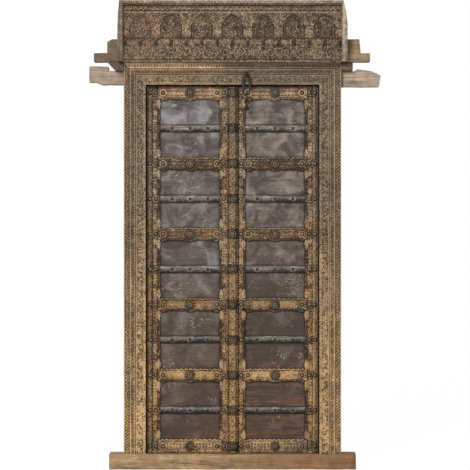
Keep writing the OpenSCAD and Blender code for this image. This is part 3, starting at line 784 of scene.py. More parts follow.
def iron_group() -> bpy.types.NodeTree:
    """Forged iron under brown dust, with painted glints drawn along it and painted shade on its low-carve
    edges.
    """
    name = "forged_iron"
    if name in bpy.data.node_groups:
        return bpy.data.node_groups[name]
    grey = (0.1, 0.1, 0.1, 1.0)
    graph, entry, out = new_group(
        name, {"Iron": grey, "Dust": grey, "Sheen": grey, "Cover": 0.5, "Carve": 0.6, "Streak": 0.0},
        {"Color": tuple, "Roughness": float, "Metal": float, "Height": float})
    place = graph.object_place()
    cloud = graph.noise(place, 24.0, 4.0, 0.6)
    dents = graph.noise(place, 90.0, 3.0, 0.55)
    speck = graph.noise(place, 420.0, 2.0, 0.6)
    colour = graph.mix(graph.smooth(dents, 0.45, 0.75), entry["Iron"], entry["Sheen"])
    covered = graph.maths("ADD", cloud, graph.smooth(speck, 0.2, 0.8, (-0.14, 0.14)))
    # On the straps the carve value carries painted light, so the dust follows it.
    covered = graph.maths("ADD", covered, graph.smooth(entry["Carve"], 0.1, 1.0, (-0.2, 0.2)))
    dust = graph.maths("MULTIPLY", graph.smooth(covered, 0.4, 0.68), entry["Cover"])
    colour = graph.mix(dust, colour, entry["Dust"])
    drawn = graph.noise(graph.stretched(place, (17.0, 60.0, 150.0)), 1.0, 4.0, 0.65, 0.5)
    # Pale streaks along the iron are painted glints.
    glints = graph.maths("MULTIPLY", graph.smooth(drawn, 0.5, 0.68), graph.smooth(entry["Carve"], 0.4, 0.85))
    colour = graph.mix(graph.maths("MULTIPLY", glints, entry["Streak"]), colour, PAINTED_GLINT_GREY)
    # Low carve values darken towards black: painted shade at the rims of straps and heads and in the
    # rosettes' grooves.
    edge = graph.smooth(entry["Carve"], 0.4, 0.05, (0.0, 0.85))
    graph.feed(out.inputs["Color"], graph.mix(edge, colour, EDGE_BLACK))
    graph.feed(out.inputs["Roughness"], graph.maths("MULTIPLY_ADD", dust, 0.4, 0.42))
    graph.feed(out.inputs["Metal"], graph.smooth(dust, 0.0, 0.8, (0.45, 0.05)))
    graph.feed(out.inputs["Height"], graph.maths("ADD", dents, graph.maths("MULTIPLY", speck, 0.35)))
    return graph.tree


@dataclass(frozen=True)
class Finish:
    """A finish of the door, made once as a material."""

    name: str

    def material(self) -> Material:
        """The finish as a material, made on its first use."""
        if self.name in bpy.data.materials:
            return bpy.data.materials[self.name]
        material = bpy.data.materials.new(self.name)
        material.use_nodes = True
        self.dress(Graph(material.node_tree), material.node_tree.nodes["Principled BSDF"])
        return material

    def dress(self, graph: Graph, shader: Node) -> None:
        """Lay the finish on a shader; each kind of finish has its own way."""
        raise NotImplementedError

    def bumped(self, graph: Graph, shader: Node, height: Socket, strength: float, distance: float) -> None:
        """Feed a height into a shader's normal.

        Args:
            graph: the material's graph.
            shader: its shader.
            height: heights over the surface.
            strength: share of the bumps that shows.
            distance: height of the bumps.
        """
        bump = graph.add("ShaderNodeBump")
        for key, value in {"Strength": strength, "Distance": distance * MM, "Height": height}.items():
            graph.feed(bump.inputs[key], value)
        graph.feed(shader.inputs["Normal"], bump.outputs[0])


@dataclass(frozen=True)
class WoodFinish(Finish):
    """One finish of old wood."""

    low: Colour
    high: Colour
    deep: Colour = (44, 32, 23)
    pale: Colour = (176, 152, 116)
    patina: Colour = (128, 116, 100)
    grain: Grain = Grain.UPRIGHT
    carved: bool = True
    # Share of the darkening in the cuts, which is partly dirt and partly painted shade.
    dirt: float = 0.85
    wear: float = 0.6
    fade: float = 0.45
    contrast: float = 1.0
    chips: float = 0.0
    bump: float = 0.45
    slope: tuple[float, float, float] = (0.0, 0.0, 0.54)
    start: float = 0.0
    tinge: Colour | None = None
    gloss: float = 0.18

    def dress(self, graph: Graph, shader: Node) -> None:
        """Lay old wood on a shader.

        Args:
            graph: the material's graph.
            shader: its shader.
        """
        shares = ("dirt", "wear", "fade", "contrast", "chips", "slope", "start")
        values = {key.title(): getattr(self, key) for key in shares}
        for key in ("low", "high", "deep", "pale", "patina"):
            values[key.title()] = linear(getattr(self, key))
        if self.carved:
            values["Carve"] = graph.kept(CARVE)
        if self.tinge:
            values |= {"Tinge": linear(self.tinge), "Tint": graph.kept(TINT)}
        wood = graph.group(wood_group(), {"Grain": self.grain.value, **values})
        graph.feed(shader.inputs["Base Color"], wood.outputs["Color"])
        graph.feed(shader.inputs["Roughness"], wood.outputs["Roughness"])
        shader.inputs["Specular IOR Level"].default_value = self.gloss
        self.bumped(graph, shader, wood.outputs["Height"], self.bump, 1.2)


@dataclass(frozen=True)
class IronFinish(Finish):
    """One finish of forged iron."""

    iron: Colour
    sheen: Colour
    dust: Colour
    cover: float = 0.6
    # Share of the painted glints.
    streak: float = 0.0
    carved: bool = True

    def dress(self, graph: Graph, shader: Node) -> None:
        """Lay forged iron on a shader.

        Args:
            graph: the material's graph.
            shader: its shader.
        """
        values = {key.title(): linear(getattr(self, key)) for key in ("iron", "sheen", "dust")}
        if self.carved:
            values["Carve"] = graph.kept(CARVE)
        iron = graph.group(iron_group(), {"Cover": self.cover, "Streak": self.streak, **values})
        for key, name in {"Base Color": "Color", "Roughness": "Roughness", "Metallic": "Metal"}.items():
            graph.feed(shader.inputs[key], iron.outputs[name])
        self.bumped(graph, shader, iron.outputs["Height"], 0.5, 1.0)


@dataclass(frozen=True)
class PanelFinish(Finish):
    """Flat dark boards with grey bloom that is partly a painted sheen, scuffs, a few fine scratches and
    painted shade along their edges.
    """

    low: Colour
    high: Colour
    bloom: Colour = (155, 153, 151)
    scratch: Colour = (186, 178, 168)
    fleck: Colour = (176, 162, 146)
    dirt: Colour = (57, 46, 39)
    # Colour of the painted shade along the boards' edges.
    edge: Colour = (30, 23, 17)
    slope: float = 0.54
    start: float = 0.0
    tinge: Colour | None = None
    gloss: float = 0.35

    def dress(self, graph: Graph, shader: Node) -> None:
        """Lay the boards' wood, stains, dust, bloom with painted sheen, scuffs and painted edge shade on a
        shader.

        Args:
            graph: the material's graph.
            shader: its shader.
        """
        wood = graph.group(wood_group(), {
            "Grain": Grain.LEVEL.value, "Slope": (0.0, 0.0, self.slope), "Start": self.start,
            "Low": linear(self.low), "High": linear(self.high), "Deep": linear(self.dirt),
            "Pale": linear(self.bloom), "Patina": linear(self.dirt), "Dirt": 0.0, "Wear": 0.0, "Fade": 0.3})
        place = graph.object_place()
        bent = graph.warped(place, 6.0, 0.09)
        cloud = graph.noise(place, 12.0, 5.0, 0.62, 0.6)
        smear = graph.noise(graph.stretched(bent, (24.0, 24.0, 58.0)), 1.0, 5.0, 0.7, 0.8)
        drip = graph.noise(graph.stretched(place, (64.0, 64.0, 8.0)), 1.0, 4.0, 0.6, 0.4)
        swept = graph.stretched(graph.warped(place, 5.0, 0.2), (28.0, 28.0, 380.0))
        hair = graph.noise(swept, 1.0, 2.0, 0.5, 1.2)
        patch = graph.noise(place, 10.0, 2.0, 0.5)
        crowd = graph.smooth(patch, 0.5, 0.68, (-0.02, 0.08))
        spot = graph.maths("ADD", graph.noise(place, 150.0, 2.0, 0.5), crowd)
        curve = graph.maths("ABSOLUTE", graph.maths("SUBTRACT", graph.noise(place, 34.0, 2.0, 0.5, 1.0), 0.5))
        scuff = graph.maths("MULTIPLY", graph.smooth(curve, 0.016, 0.004), graph.smooth(patch, 0.54, 0.66))
        height = graph.add("ShaderNodeSeparateXYZ")
        graph.feed(height.inputs[0], place)
        toward_top = graph.smooth(height.outputs["Z"], 0.4, 1.4, (0.2, 1.0))
        scuffed = graph.smooth(height.outputs["Z"], 1.2, 0.6, (0.2, 1.0))
        if self.tinge:
            level = graph.noise(graph.stretched(place, (9.0, 9.0, 130.0)), 1.0, 4.0, 0.6, 0.3)
            bared = graph.smooth(height.outputs["Z"], 0.6, 0.36)
            graph.feed(wood.inputs["Tint"], graph.maths("MULTIPLY", bared, graph.smooth(level, 0.4, 0.6)))
            graph.feed(wood.inputs["Tinge"], linear(self.tinge))
        colour = wood.outputs["Color"]
        # The grey bloom is partly a painted sheen, stronger towards the top.
        for mask, low, high, most, tone in (
                (cloud, 0.5, 0.68, 0.6, self.bloom), (cloud, 0.52, 0.36, 0.9, self.dirt),
                (drip, 0.56, 0.76, 0.25, self.dirt), (smear, 0.55, 0.72, 0.6, self.scratch),
                (smear, 0.47, 0.32, 0.5, self.dirt), (hair, 0.68, 0.78, 0.4, self.scratch),
                (drip, 0.68, 0.8, 0.4, self.fleck), (scuff, 0.1, 0.9, 0.5, self.fleck),
                (spot, 0.69, 0.75, 0.8, self.fleck)):
            factor = graph.smooth(mask, low, high, (0.0, most))
            if tone in (self.bloom, self.scratch):
                factor = graph.maths("MULTIPLY", factor, toward_top)
            elif tone == self.fleck:
                factor = graph.maths("MULTIPLY", factor, scuffed)
            colour = graph.mix(factor, colour, linear(tone))
        # Low carve values near the framing and the strap paint shade along the board's edges.
        edge_shade = graph.maths("ADD", graph.kept(CARVE), graph.smooth(cloud, 0.2, 0.8, (-0.35, 0.35)))
        colour = graph.mix(graph.smooth(edge_shade, 0.75, 0.0, (0.0, 0.8)), colour, linear(self.edge))
        graph.feed(shader.inputs["Base Color"], colour)
        graph.feed(shader.inputs["Roughness"], graph.smooth(smear, 0.2, 0.8, (0.46, 0.72)))
        shader.inputs["Specular IOR Level"].default_value = self.gloss
        dents = graph.maths("MULTIPLY_ADD", cloud, 1.6, wood.outputs["Height"])
        self.bumped(graph, shader, dents, 0.45, 1.6)


FRAME_WOOD = WoodFinish("old_frame", low=(226, 186, 134), high=(149, 129, 106), deep=(54, 39, 26), dirt=0.85,
                        wear=0.75, chips=0.9, slope=(0, 0, 0.68), tinge=(150, 122, 86))
# The head's tinge is the bare wood's colour, raised further as painted light that lifts the outer band out of
# the cornice's shadow.
FRAME_HEAD = WoodFinish("old_head", low=(145, 124, 101), high=(131, 114, 96), deep=(56, 41, 28), dirt=0.8,
                        wear=0.55, grain=Grain.LEVEL, chips=0.8, slope=(1.2, 0, 0), start=0.5,
                        tinge=(255, 212, 160))
CORNICE_WOOD = WoodFinish("old_cornice", low=(140, 116, 93), high=(134, 114, 94), deep=(46, 34, 26),
                          pale=(206, 186, 152), patina=(116, 98, 82), grain=Grain.LEVEL, dirt=0.9, wear=0.85,
                          chips=0.6, slope=(0.8, 0, 0), start=0.5, tinge=(132, 96, 70))
CHEEK_WOOD = WoodFinish("old_cheek", low=(124, 106, 84), high=(176, 157, 136), deep=(48, 37, 30),
                        pale=(190, 168, 134), dirt=0.6, slope=(1.0, 0, 0), start=0.5, contrast=1.2, chips=0.5)
RAW_WOOD = WoodFinish("bare_timber", low=(160, 143, 126), high=(160, 143, 124), patina=(142, 124, 106),
                      grain=Grain.LEVEL, carved=False, contrast=1.8)
SILL_WOOD = WoodFinish("sill_timber", low=(180, 152, 116), high=(136, 98, 68), patina=(150, 118, 86),
                       grain=Grain.LEVEL, carved=False, contrast=1.5, fade=0.6, slope=(0.9, 0, 0), start=0.5)
BEAM_WOOD = WoodFinish("old_beam", low=(108, 92, 74), high=(154, 129, 100), patina=(98, 86, 70),
                       grain=Grain.LEVEL, carved=False, contrast=1.3, slope=(0.8, 0, 0), start=0.5)
PAD_WOOD = WoodFinish("old_pad", low=(88, 76, 68), high=(96, 80, 64), patina=(76, 64, 56), grain=Grain.LEVEL,
                      carved=False, contrast=1.4, slope=(0.8, 0, 0), start=0.5)
BACK_WOOD = WoodFinish("old_back", low=(128, 106, 80), high=(120, 100, 78), carved=False)
STILE_WOOD = WoodFinish("old_stile", low=(170, 132, 86), high=(120, 99, 78), pale=(210, 188, 154), dirt=0.95,
                        wear=0.85, chips=0.55, tinge=(112, 78, 54))
RAIL_WOOD = WoodFinish("old_rail", low=(188, 148, 101), high=(92, 78, 62), pale=(212, 184, 140),
                       grain=Grain.LEVEL, dirt=0.88, wear=0.85, chips=0.55, tinge=(118, 84, 56),
                       slope=(0, 0, 0.8), start=-0.25)
HEAD_RAIL_WOOD = WoodFinish("old_head_rail", low=(186, 151, 109), high=(166, 136, 105), pale=(214, 190, 154),
                            grain=Grain.LEVEL, dirt=0.76, wear=0.85, chips=0.55, tinge=(168, 130, 92))
LEFT_BOARD = PanelFinish("dark_panel", low=(80, 57, 41), high=(96, 90, 86))
RIGHT_BOARD = PanelFinish("warm_panel", low=(63, 45, 34), high=(112, 101, 93), bloom=(152, 143, 136),
                          scratch=(182, 168, 152), slope=1.5, start=-1.05, tinge=(104, 66, 42))
STRAP_IRON = IronFinish("forged_strap", iron=(46, 44, 42), sheen=(110, 102, 93), dust=(122, 108, 92),
                        streak=0.85)
STUD_IRON = IronFinish("forged_stud", iron=(44, 36, 30), sheen=(96, 82, 66), dust=(132, 111, 86), cover=0.85)
NAIL_IRON = IronFinish("forged_nail", iron=(30, 28, 27), sheen=(58, 54, 50), dust=(62, 54, 46), cover=0.35)
ROSETTE_IRON = IronFinish("forged_rosette", iron=(38, 32, 26), sheen=(92, 80, 64), dust=(126, 108, 83),
                          cover=0.8)
CHAIN_IRON = IronFinish("forged_chain", iron=(14, 12, 11), sheen=(30, 27, 25), dust=(40, 33, 28), cover=0.3,
                        carved=False)


@dataclass
class CarvedFace:
    """The three carved bands that run round the doorway, from the opening outwards."""

    width: float
    inset: float = 1.5
    shares: tuple[float, ...] = (0, 0.18, 0.455, 0.49, 0.515, 0.72, 0.75, 0.775, 0.955, 1)
    ground: float = 5.0
    drop: float = 3.0
    wall: float = 0.4
    scroll_pitch: float = 44.0
    thread: float = 7.0
    quirk: float = 7.6
    quirk_depth: float = 34.0
    leaf_pitch: float = 14.0
    bead_pitch: float = 9.0
    dot_pitch: float = 13.0
    leaf_run: float = 140.0
    bold_foot: float = 320.0
    bold_head: float = 620.0

    def edge(self, i: int) -> float:
        """Place of a band's edge across the face."""
        return self.shares[i] * self.width

    def columns(self, pace: float) -> Array:
        """Places of the columns: close to both sides of each edge, and between.

        Args:
            pace: distance between columns.

        Returns:
            Places across the face.
        """
        edges = [self.edge(i) for i in range(len(self.shares))]
        lines = [self.quirk, *edges[1:-1]]
        stops = [self.inset, *[e + s * self.wall for e in lines for s in (-1, 1)], edges[-1]]
        spots = [spread(a, b, pace)[:-1] for a, b in zip(stops, stops[1:])]
        return np.concatenate([*spots, [edges[-1]]])

    def profile(self) -> tuple[list[float], list[float]]:
        """Places across the face and the depths of its borders and grounds there."""
        sunk = 2 * self.drop + self.ground
        levels = [2 * self.drop, sunk, 2 * self.drop, sunk, self.drop + self.ground, self.drop,
                  self.drop + self.ground, self.ground, 0.0]
        places = [self.inset, self.quirk - self.wall, self.quirk + self.wall]
        depths = [self.quirk_depth, self.quirk_depth, levels[0]]
        for i, (before, after) in enumerate(zip(levels, levels[1:]), 1):
            places += [self.edge(i) - self.wall, self.edge(i) + self.wall]
            depths += [before, after]
        return [*places, self.width], [*depths, levels[-1]]

    def scroll(self) -> Ornament:
        """Winding stem with a flower in each bend and small leaves in the corners."""
        half = (self.edge(2) - self.edge(1)) / 2
        pitch = self.scroll_pitch
        work = Ornament()
        share = np.linspace(0, 1, 25)
        wave = half * 0.62 * np.sin(2 * np.pi * share)
        work.stroke(np.column_stack([wave, pitch * share, np.full(25, half * 0.085)]))
        for k, side in enumerate((1, -1)):
            eye = (-side * half * 0.28, pitch * (0.25 + 0.5 * k))
            work.flower(eye, half * 0.36, 6, 15.0 * k)
            work.curl(eye, half * 0.52, side * 70, side * 250, half * 0.13, 0.08)
            for lift in (-0.75, -0.25, 0.25, 0.75):
                foot = (side * half * 0.7, eye[1] + lift * half)
                work.leaf(foot, side * (90 - 50 * lift), half * 0.3, half * 0.2)
                foot = (-side * half * 0.78, eye[1] + lift * half * 1.1)
                work.leaf(foot, -side * (90 + 40 * lift), half * 0.26, half * 0.17)
            for end in (-1, 1):
                foot = (-side * half * 0.4, eye[1] + end * half * 0.72)
                work.leaf(foot, -side * (90 + 30 * end), half * 0.42, half * 0.2, -30 * end * side)
        return work

    def carving(self, across: Array, along: Array, head: bool) -> Relief:
        """Depth and carve value of the face.

        Args:
            across: places across the face from the opening.
            along: places along it.
            head: whether this is the lintel, whose outer band has a row of cuts in place of leaves.

        Returns:
            Depth behind the frame's front plane, and carve value from 0 in the ground to 1 on the crests.
        """
        depth = np.interp(across, *self.profile())
        relief = np.zeros(across.shape)
        middle = [(self.edge(i) + self.edge(i + 1)) / 2 for i in range(9)]
        in_scroll = (across > self.edge(1)) & (across < self.edge(2))
        spots = on_face(across[in_scroll], along[in_scroll])
        height = along[in_scroll] + 150 * Noise(19).at(spots, 130)
        bold = 0.0 if head else rise(height, self.bold_head, self.bold_foot)
        foliage = Noise(17).tendrils(spots, self.thread)
        foliage = foliage + bold * (Noise(20).tendrils(spots, 2.4 * self.thread) ** 1.8 - foliage)
        stems = self.scroll().height(across[in_scroll] - middle[1], along[in_scroll], self.scroll_pitch)
        relief[in_scroll] = np.maximum((0.6 + 0.3 * bold) * stems, 0.9 * foliage)
        bead_w = self.edge(5) - self.edge(4)
        row = across - middle[4]
        place = (along + row * 0.4) % self.bead_pitch - self.bead_pitch / 2
        beads = np.hypot(np.abs(row) - bead_w * 0.17, place)
        ribs = ridge(np.abs(np.abs(row) - bead_w * 0.4), bead_w * 0.12)
        in_beads = (across > self.edge(4)) & (across < self.edge(5))
        relief = np.where(in_beads, np.maximum(ribs, ridge(beads, bead_w * 0.15)), relief)
        in_leaf = (across > self.edge(7)) & (across < self.edge(8))
        leaf_w = self.edge(8) - self.edge(7)
        if head:
            cut = np.hypot((across - middle[7]) * 0.8, (along % self.dot_pitch) - self.dot_pitch / 2)
            tooth = 0.9 - 0.75 * ridge(cut, leaf_w * 0.24)
        else:
            way = np.where((along // self.leaf_run) % 2 < 1, 1.0, -1.0)
            slant = (along + way * (across - middle[7]) * 0.9) % self.leaf_pitch - self.leaf_pitch / 2
            rib = 0.9 * ridge(across - middle[7], leaf_w * 0.1)
            tooth = np.maximum(ridge(slant, self.leaf_pitch * 0.27), rib)
        relief = np.where(in_leaf, tooth, relief)
        depth = depth - relief * self.ground * 0.92
        border = np.where(across < middle[3], 2 * self.drop, np.where(across < middle[6], self.drop, 0.0))
        carve = np.clip(1 - (depth - border) / self.ground, 0, 1)
        carve = np.where(across < self.edge(1), 0.68 * carve, carve)
        return depth, np.where(in_scroll, 0.2 + 0.8 * carve, carve)


def worn(points: Array, depth: Array, carve: Array, seed: int, amount: float) -> Relief:
    """Uneven wear over a carved front.

    Args:
        points: places on the front, as rows of three.
        depth: depths of the carving.
        carve: carve values.
        seed: number that fixes the wear.
        amount: greatest loss of height.

    Returns:
        The depths and the carve values after wear.
    """
    noise = Noise(seed)
    loss = rise(noise.at(points, 90) + 0.5 * noise.at(points, 23), 0.2, 1.2)
    ripple = 0.35 * noise.at(points, 7)
    return depth + (amount * loss * carve + ripple), np.clip(carve * (1 - 0.25 * loss) + 0.22 * loss, 0, 1.3)


@dataclass
class DoorFrame:
    """Jambs, lintel and sill."""

    pace: float = 2.4
    lip: float = 40.0
    wear: float = 1.6
    face: CarvedFace = field(init=False)
    half: float = field(init=False)
    foot: float = field(init=False)
    head: float = field(init=False)

    def __post_init__(self) -> None:
        """Take the doorway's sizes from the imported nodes."""
        low, high = corners_of("right_jamb")
        self.half = low[0]
        self.foot = corners_of("sill")[1][2]
        self.face = CarvedFace(high[0] - low[0])
        self.head = corners_of("lintel")[1][2] - self.face.width

    def section(self) -> Section:
        """Columns of the carved lip, which is rebated behind; its inner side carries carve -1, painted black
        as shadow.
        """
        width, inner = self.face.width, self.face.inset
        first = self.face.profile()[1][0]
        return Section(self.face.columns(self.pace),
                       [(width, 0), (width, self.lip), (inner, self.lip, -1.0), (inner, first, -1.0)])

    def aged(self, across: Array, spots: Array, head: bool, seed: int) -> Relief:
        """Worn carving of the face, with a painted black shadow in the quirk beside the leaves.

        Args:
            across: places across the face from the opening.
            spots: the same places in the frame.
            head: whether this is the lintel.
            seed: number that fixes the wear.

        Returns:
            Depths and carve values.
        """
        along = spots[:, 0] if head else spots[:, 2] - self.foot
        depth, carve = worn(spots, *self.face.carving(across, along, head), seed, self.wear)
        # The quirk gets carve -1, a painted black shadow.
        return depth, np.where(across <= self.face.quirk, -1.0, carve)

    def jamb(self, side: Side) -> Mesh:
        """Carved lip of a jamb, mitred at its head.

        Args:
            side: side of the doorway.

        Returns:
            The lip's mesh.
        """
        def tinting(across: Array, place: Array) -> Array:
            """Brown patches on the outer band."""
            patch = rise(Noise(18).at(on_face(across, place), 160), -0.5, 0.6)
            return 0.4 * (across > self.face.edge(6)) * patch

        return member(self.section(), self.head + self.face.width - self.foot, self.pace,
                      lambda across, share: self.foot + share * (self.head + across - self.foot),
                      lambda across, z: self.aged(across, on_face(across, z), False, 11 + side.value),
                      lambda across, depth, z: (side.value * (self.half + across), depth, z), tinting)

    def lintel(self) -> Mesh:
        """Carved lip of the lintel, mitred at both ends."""
        def tinting(across: Array, place: Array) -> Array:
            """Bare bright wood, mostly on the outer band's left half; its tinge is raised further as painted
            light against the cornice's shadow.
            """
            band = 0.1 + 0.9 * (across > self.face.edge(6))
            return band * rise(-place, -20.0, 150.0)

        return member(self.section(), 2 * (self.half + self.face.width), self.pace,
                      lambda across, share: (2 * share - 1) * (self.half + across),
                      lambda across, x: self.aged(across, on_face(x, across), True, 14),
                      lambda across, depth, x: (x, depth, self.head + across), tinting)

    def build(self) -> None:
        """Make and dress the frame's pieces."""
        for side in Side:
            node = f"{side.word}_jamb"
            add_piece(f"{node}_face", self.jamb(side), "frame", "carved_wood", FRAME_WOOD, node)
            back = weathered(node, [((0, self.lip, 0), (0, -1, 0))], seed=21 + side.value)
            add_piece(f"{node}_back", back, "frame", "carved_wood", BACK_WOOD)
        add_piece("lintel_face", self.lintel(), "frame", "carved_wood", FRAME_HEAD, "lintel")
        edge = self.half + self.face.width
        parts = [weathered("lintel", [((0, self.lip, 0), (0, -1, 0)), ((edge, 0, 0), (1, 0, 0)),
                                      ((-edge, 0, 0), (-1, 0, 0))], seed=31),
                 weathered("lintel", [((edge, 0, 0), (-1, 0, 0))], swell=1.2, seed=32),
                 weathered("lintel", [((-edge, 0, 0), (1, 0, 0))], swell=1.2, seed=33)]
        add_piece("lintel_timber", joined(parts), "frame", "raw_wood", RAW_WOOD)
        sill = weathered("sill", round_off=4.0, swell=1.3, seed=34)
        add_piece("sill_timber", sill, "frame", "raw_wood", SILL_WOOD, "sill")


@dataclass
class Cornice:
    """Carved frieze under a moulded cap, with cheeks, a beam and its pads."""

    pace: float = 2.2
    arches: int = 7
    relief: float = 8.0
    foot_share: float = 0.035
    lower_share: float = 0.35
    peg_share: float = 0.49
    head_share: float = 0.985
    niche_share: float = 0.3
    spring_share: float = 0.38
    crown_share: float = 0.48
    thread: float = 6.6
    overlap: float = 4.5
    wear: float = 1.6
    peg_share_wide: float = 0.1
    peg_round: float = 1.8
    cap_line: tuple[Spot, ...] = ((0.5, 0), (0.5, 0.06), (0.72, 0.12), (0.72, 0.48), (0.56, 0.51),
                                  (0.56, 0.56), (0.85, 0.6), (0.85, 0.66), (1, 0.7), (1, 1))
    cap_wear: float = 1.2
    zigzag_pitch: float = 22.0
    dash_pitch: float = 11.0
    low: Array = field(init=False)
    high: Array = field(init=False)

    def __post_init__(self) -> None:
        """Take the frieze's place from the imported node."""
        self.low, self.high = corners_of("frieze_board")

    @property
    def front(self) -> float:
        """Depth of the frieze's ground."""
        return self.low[1] + 2 * self.relief

    @property
    def bay(self) -> float:
        """Distance from one arch to the next."""
        return (self.high[0] - self.low[0] - 2 * self.relief) / self.arches

    def level(self, share: float) -> float:
        """Height of a tier's edge."""
        return self.low[2] + share * (self.high[2] - self.low[2])

    def arcade(self, tall: float) -> Ornament:
        """One arch with its plant, and half of the leafy pier at each side.

        Args:
            tall: height of the tier.

        Returns:
            The strokes, measured from the arch's middle and the tier's foot.
        """
        work = Ornament()
        bay = self.bay
        angle = np.linspace(0, np.pi, 19)
        for ring, width in ((self.niche_share + 0.075, 3.0), (self.niche_share, 2.8)):
            reach = bay * ring
            climb = tall * (self.crown_share + ring - self.niche_share)
            arch = np.column_stack([-reach * np.cos(angle), tall * self.spring_share + climb * np.sin(angle),
                                    np.full(19, width / 2)])
            work.stroke(np.vstack([[-reach, 0, width / 2], arch, [reach, 0, width / 2]]))
        work.stroke(np.array([(0, 0, 2.0), (0, tall * 0.5, 1.2)]), 0.55)
        work.flower((0, tall * 0.58), tall * 0.11, 6, height=0.5)
        for side in (-1, 1):
            for lift, lean, size in ((0.06, 66, 0.2), (0.2, 52, 0.22), (0.36, 38, 0.2)):
                foot = (side * 2, tall * lift)
                work.leaf(foot, side * lean, tall * size, tall * 0.045, -side * 24, 0.55)
            pier = side * bay / 2
            for lean in (-48, -22, 22, 48):
                work.leaf((pier, tall * 0.36), lean, tall * 0.56, tall * 0.045, -lean * 0.4)
            for lean in (118, 242):
                work.leaf((pier, tall * 0.3), lean, tall * 0.26, tall * 0.05, 0.3 * (180 - lean))
            work.flower((pier, tall * 0.2), tall * 0.13, 7, height=0.85)
            work.curl((pier - side * bay * 0.15, tall * 0.82), tall * 0.08, 0, side * 420, 2.6)
        return work

    def garland(self, tall: float) -> Ornament:
        """One coil of the lower tier's running scroll, with the leaves on it.

        Args:
            tall: height of the tier.

        Returns:
            The strokes, measured from the coil's side and the tier's foot.
        """
        work = Ornament()
        wide = self.bay / 2
        eye = (wide * 0.5, tall * 0.5)
        work.curl(eye, tall * 0.43, 200, 640, 4.2, 0.85)
        for k in range(7):
            turn = math.radians(200 + 52 * k)
            foot = (eye[0] + tall * 0.36 * math.sin(turn), eye[1] + tall * 0.36 * math.cos(turn))
            work.leaf(foot, 240 + 52 * k, tall * 0.24, tall * 0.085, 30)
        return work

    def carving(self, across: Array, along: Array) -> Relief:
        """Carving of the frieze.

        Args:
            across: heights.
            along: places along the frieze.

        Returns:
            Depths and carve values.
        """
        shares = (self.foot_share, self.lower_share, self.peg_share, self.head_share)
        z1, z2, z3, z4 = map(self.level, shares)
        spots = on_face(along, across)
        foliage = Noise(42)
        lift = np.zeros(across.shape)
        bay, tall = self.bay, z4 - z3
        upper = (across >= z3) & (across < z4)
        folded, climb = (along[upper] + bay / 2) % bay - bay / 2, across[upper] - z3
        arch = np.hypot(folded / (bay * self.niche_share),
                        np.maximum(climb - tall * self.spring_share, 0) / (tall * self.crown_share))
        vines = foliage.tendrils(spots[upper], self.thread)
        fill = np.where(arch < 1, 0.16 + 0.4 * vines, 0.34 + 0.46 * vines)
        fill *= rise(np.abs(arch - 1.12), 0.06, 0.13)
        lift[upper] = np.maximum(self.arcade(tall).height(folded, climb), fill)
        lower = (across >= z1) & (across < z2)
        folded = along[lower] % bay
        folded = np.where(folded > bay / 2, bay - folded, folded)
        fill = 0.22 + 0.36 * foliage.tendrils(spots[lower] + 400, self.thread)
        lift[lower] = np.maximum(self.garland(z2 - z1).height(folded, across[lower] - z1), fill)
        bars = 0.62 * ridge(np.abs(across - z3 + 5), 6.5) + 0.5 * (across < z1) + 0.6 * (across >= z4)
        lift = np.maximum(lift, bars)
        shade = (across >= z2) & (across < z3 - 11)
        lift = np.where(shade, 0.5 + 0.3 * foliage.tendrils(spots + 800, self.thread), lift)
        lift = np.clip(lift + 0.2 * foliage.at(spots, 6.5), 0, 1)
        crisp = 0.4 + 0.6 * rise(along + 60 * foliage.at(spots, 90), -470.0, -300.0)
        lift = 0.45 + (lift - 0.45) * crisp
        depth = self.front - self.relief * lift + np.where(shade, 2.0, 0.0)
        # Dark lines under the bar and at the lower tier's foot are painted shade.
        lift = lift - 0.9 * ridge(across - z3 + 4, 4.0) - 0.6 * ridge(across - z1, 3.0)
        return worn(spots, depth, np.clip(lift, 0, 1), 41, self.wear)

    def reddened(self, across: Array, along: Array) -> Array:
        """Share of red-brown wood, which shows towards the left end."""
        return 0.75 * rise(-along + 130 * Noise(44).at(on_face(along, across), 120), 180.0, 420.0)

    def level_member(self, section: Section, wide: float, carving: Carving, redness: float) -> Mesh:
        """Member that lies level, reddened towards its left end.

        Args:
            section: columns of its outline, at heights.
            wide: its length.
            carving: depth and carve value at heights and places along it.
            redness: greatest share of red-brown wood.

        Returns:
            Its mesh.
        """
        return member(section, wide, self.pace, lambda across, share: (share - 0.5) * wide, carving,
                      lambda across, depth, place: (place, depth, across),
                      lambda across, place: redness * self.reddened(across, place))

    def board(self) -> Mesh:
        """Carved board of the frieze."""
        bottom, top = self.low[2] - self.overlap, self.high[2]
        back, face = self.high[1], self.front - self.relief
        corners = [(top, face), (top, back), (bottom, back), (bottom, face)]
        section = Section(spread(bottom, top, self.pace), corners)
        return self.level_member(section, self.high[0] - self.low[0], self.carving, 0.5)

    def pegs(self) -> Mesh:
        """Row of pegs between the frieze's two tiers."""
        build = bmesh.new()
        foot, head = self.level(self.lower_share - 0.02), self.level(self.peg_share - 0.03)
        noise = Noise(43)
        for i in range(2 * self.arches + 1):
            middle = (i - self.arches) * self.bay / 2
            made = bmesh.ops.create_cube(build, size=1.0)["verts"]
            size = (self.bay * self.peg_share_wide, 2 * self.relief + 4, head - foot)
            bmesh.ops.scale(build, vec=size, verts=made)
            low_edge = [v for v in made if v.co.z < 0 and v.co.y < 0]
            bmesh.ops.translate(build, vec=(0, self.relief * 0.9, 0), verts=low_edge)
            lean = float(noise.at(np.array([[middle, 0.0, 0.0]]), 50)[0])
            bmesh.ops.rotate(build, verts=made, cent=(0, 0, 0), matrix=Matrix.Rotation(0.06 * lean, 3, "Y"))
            seat = (middle, self.front - self.relief + 2, (foot + head) / 2)
            bmesh.ops.translate(build, vec=seat, verts=made)
        round_edges(build, list(build.edges), self.peg_round)
        to_metres(build)
        layer = build.verts.layers.float.new(CARVE)
        middle_z = (head - 3) * MM
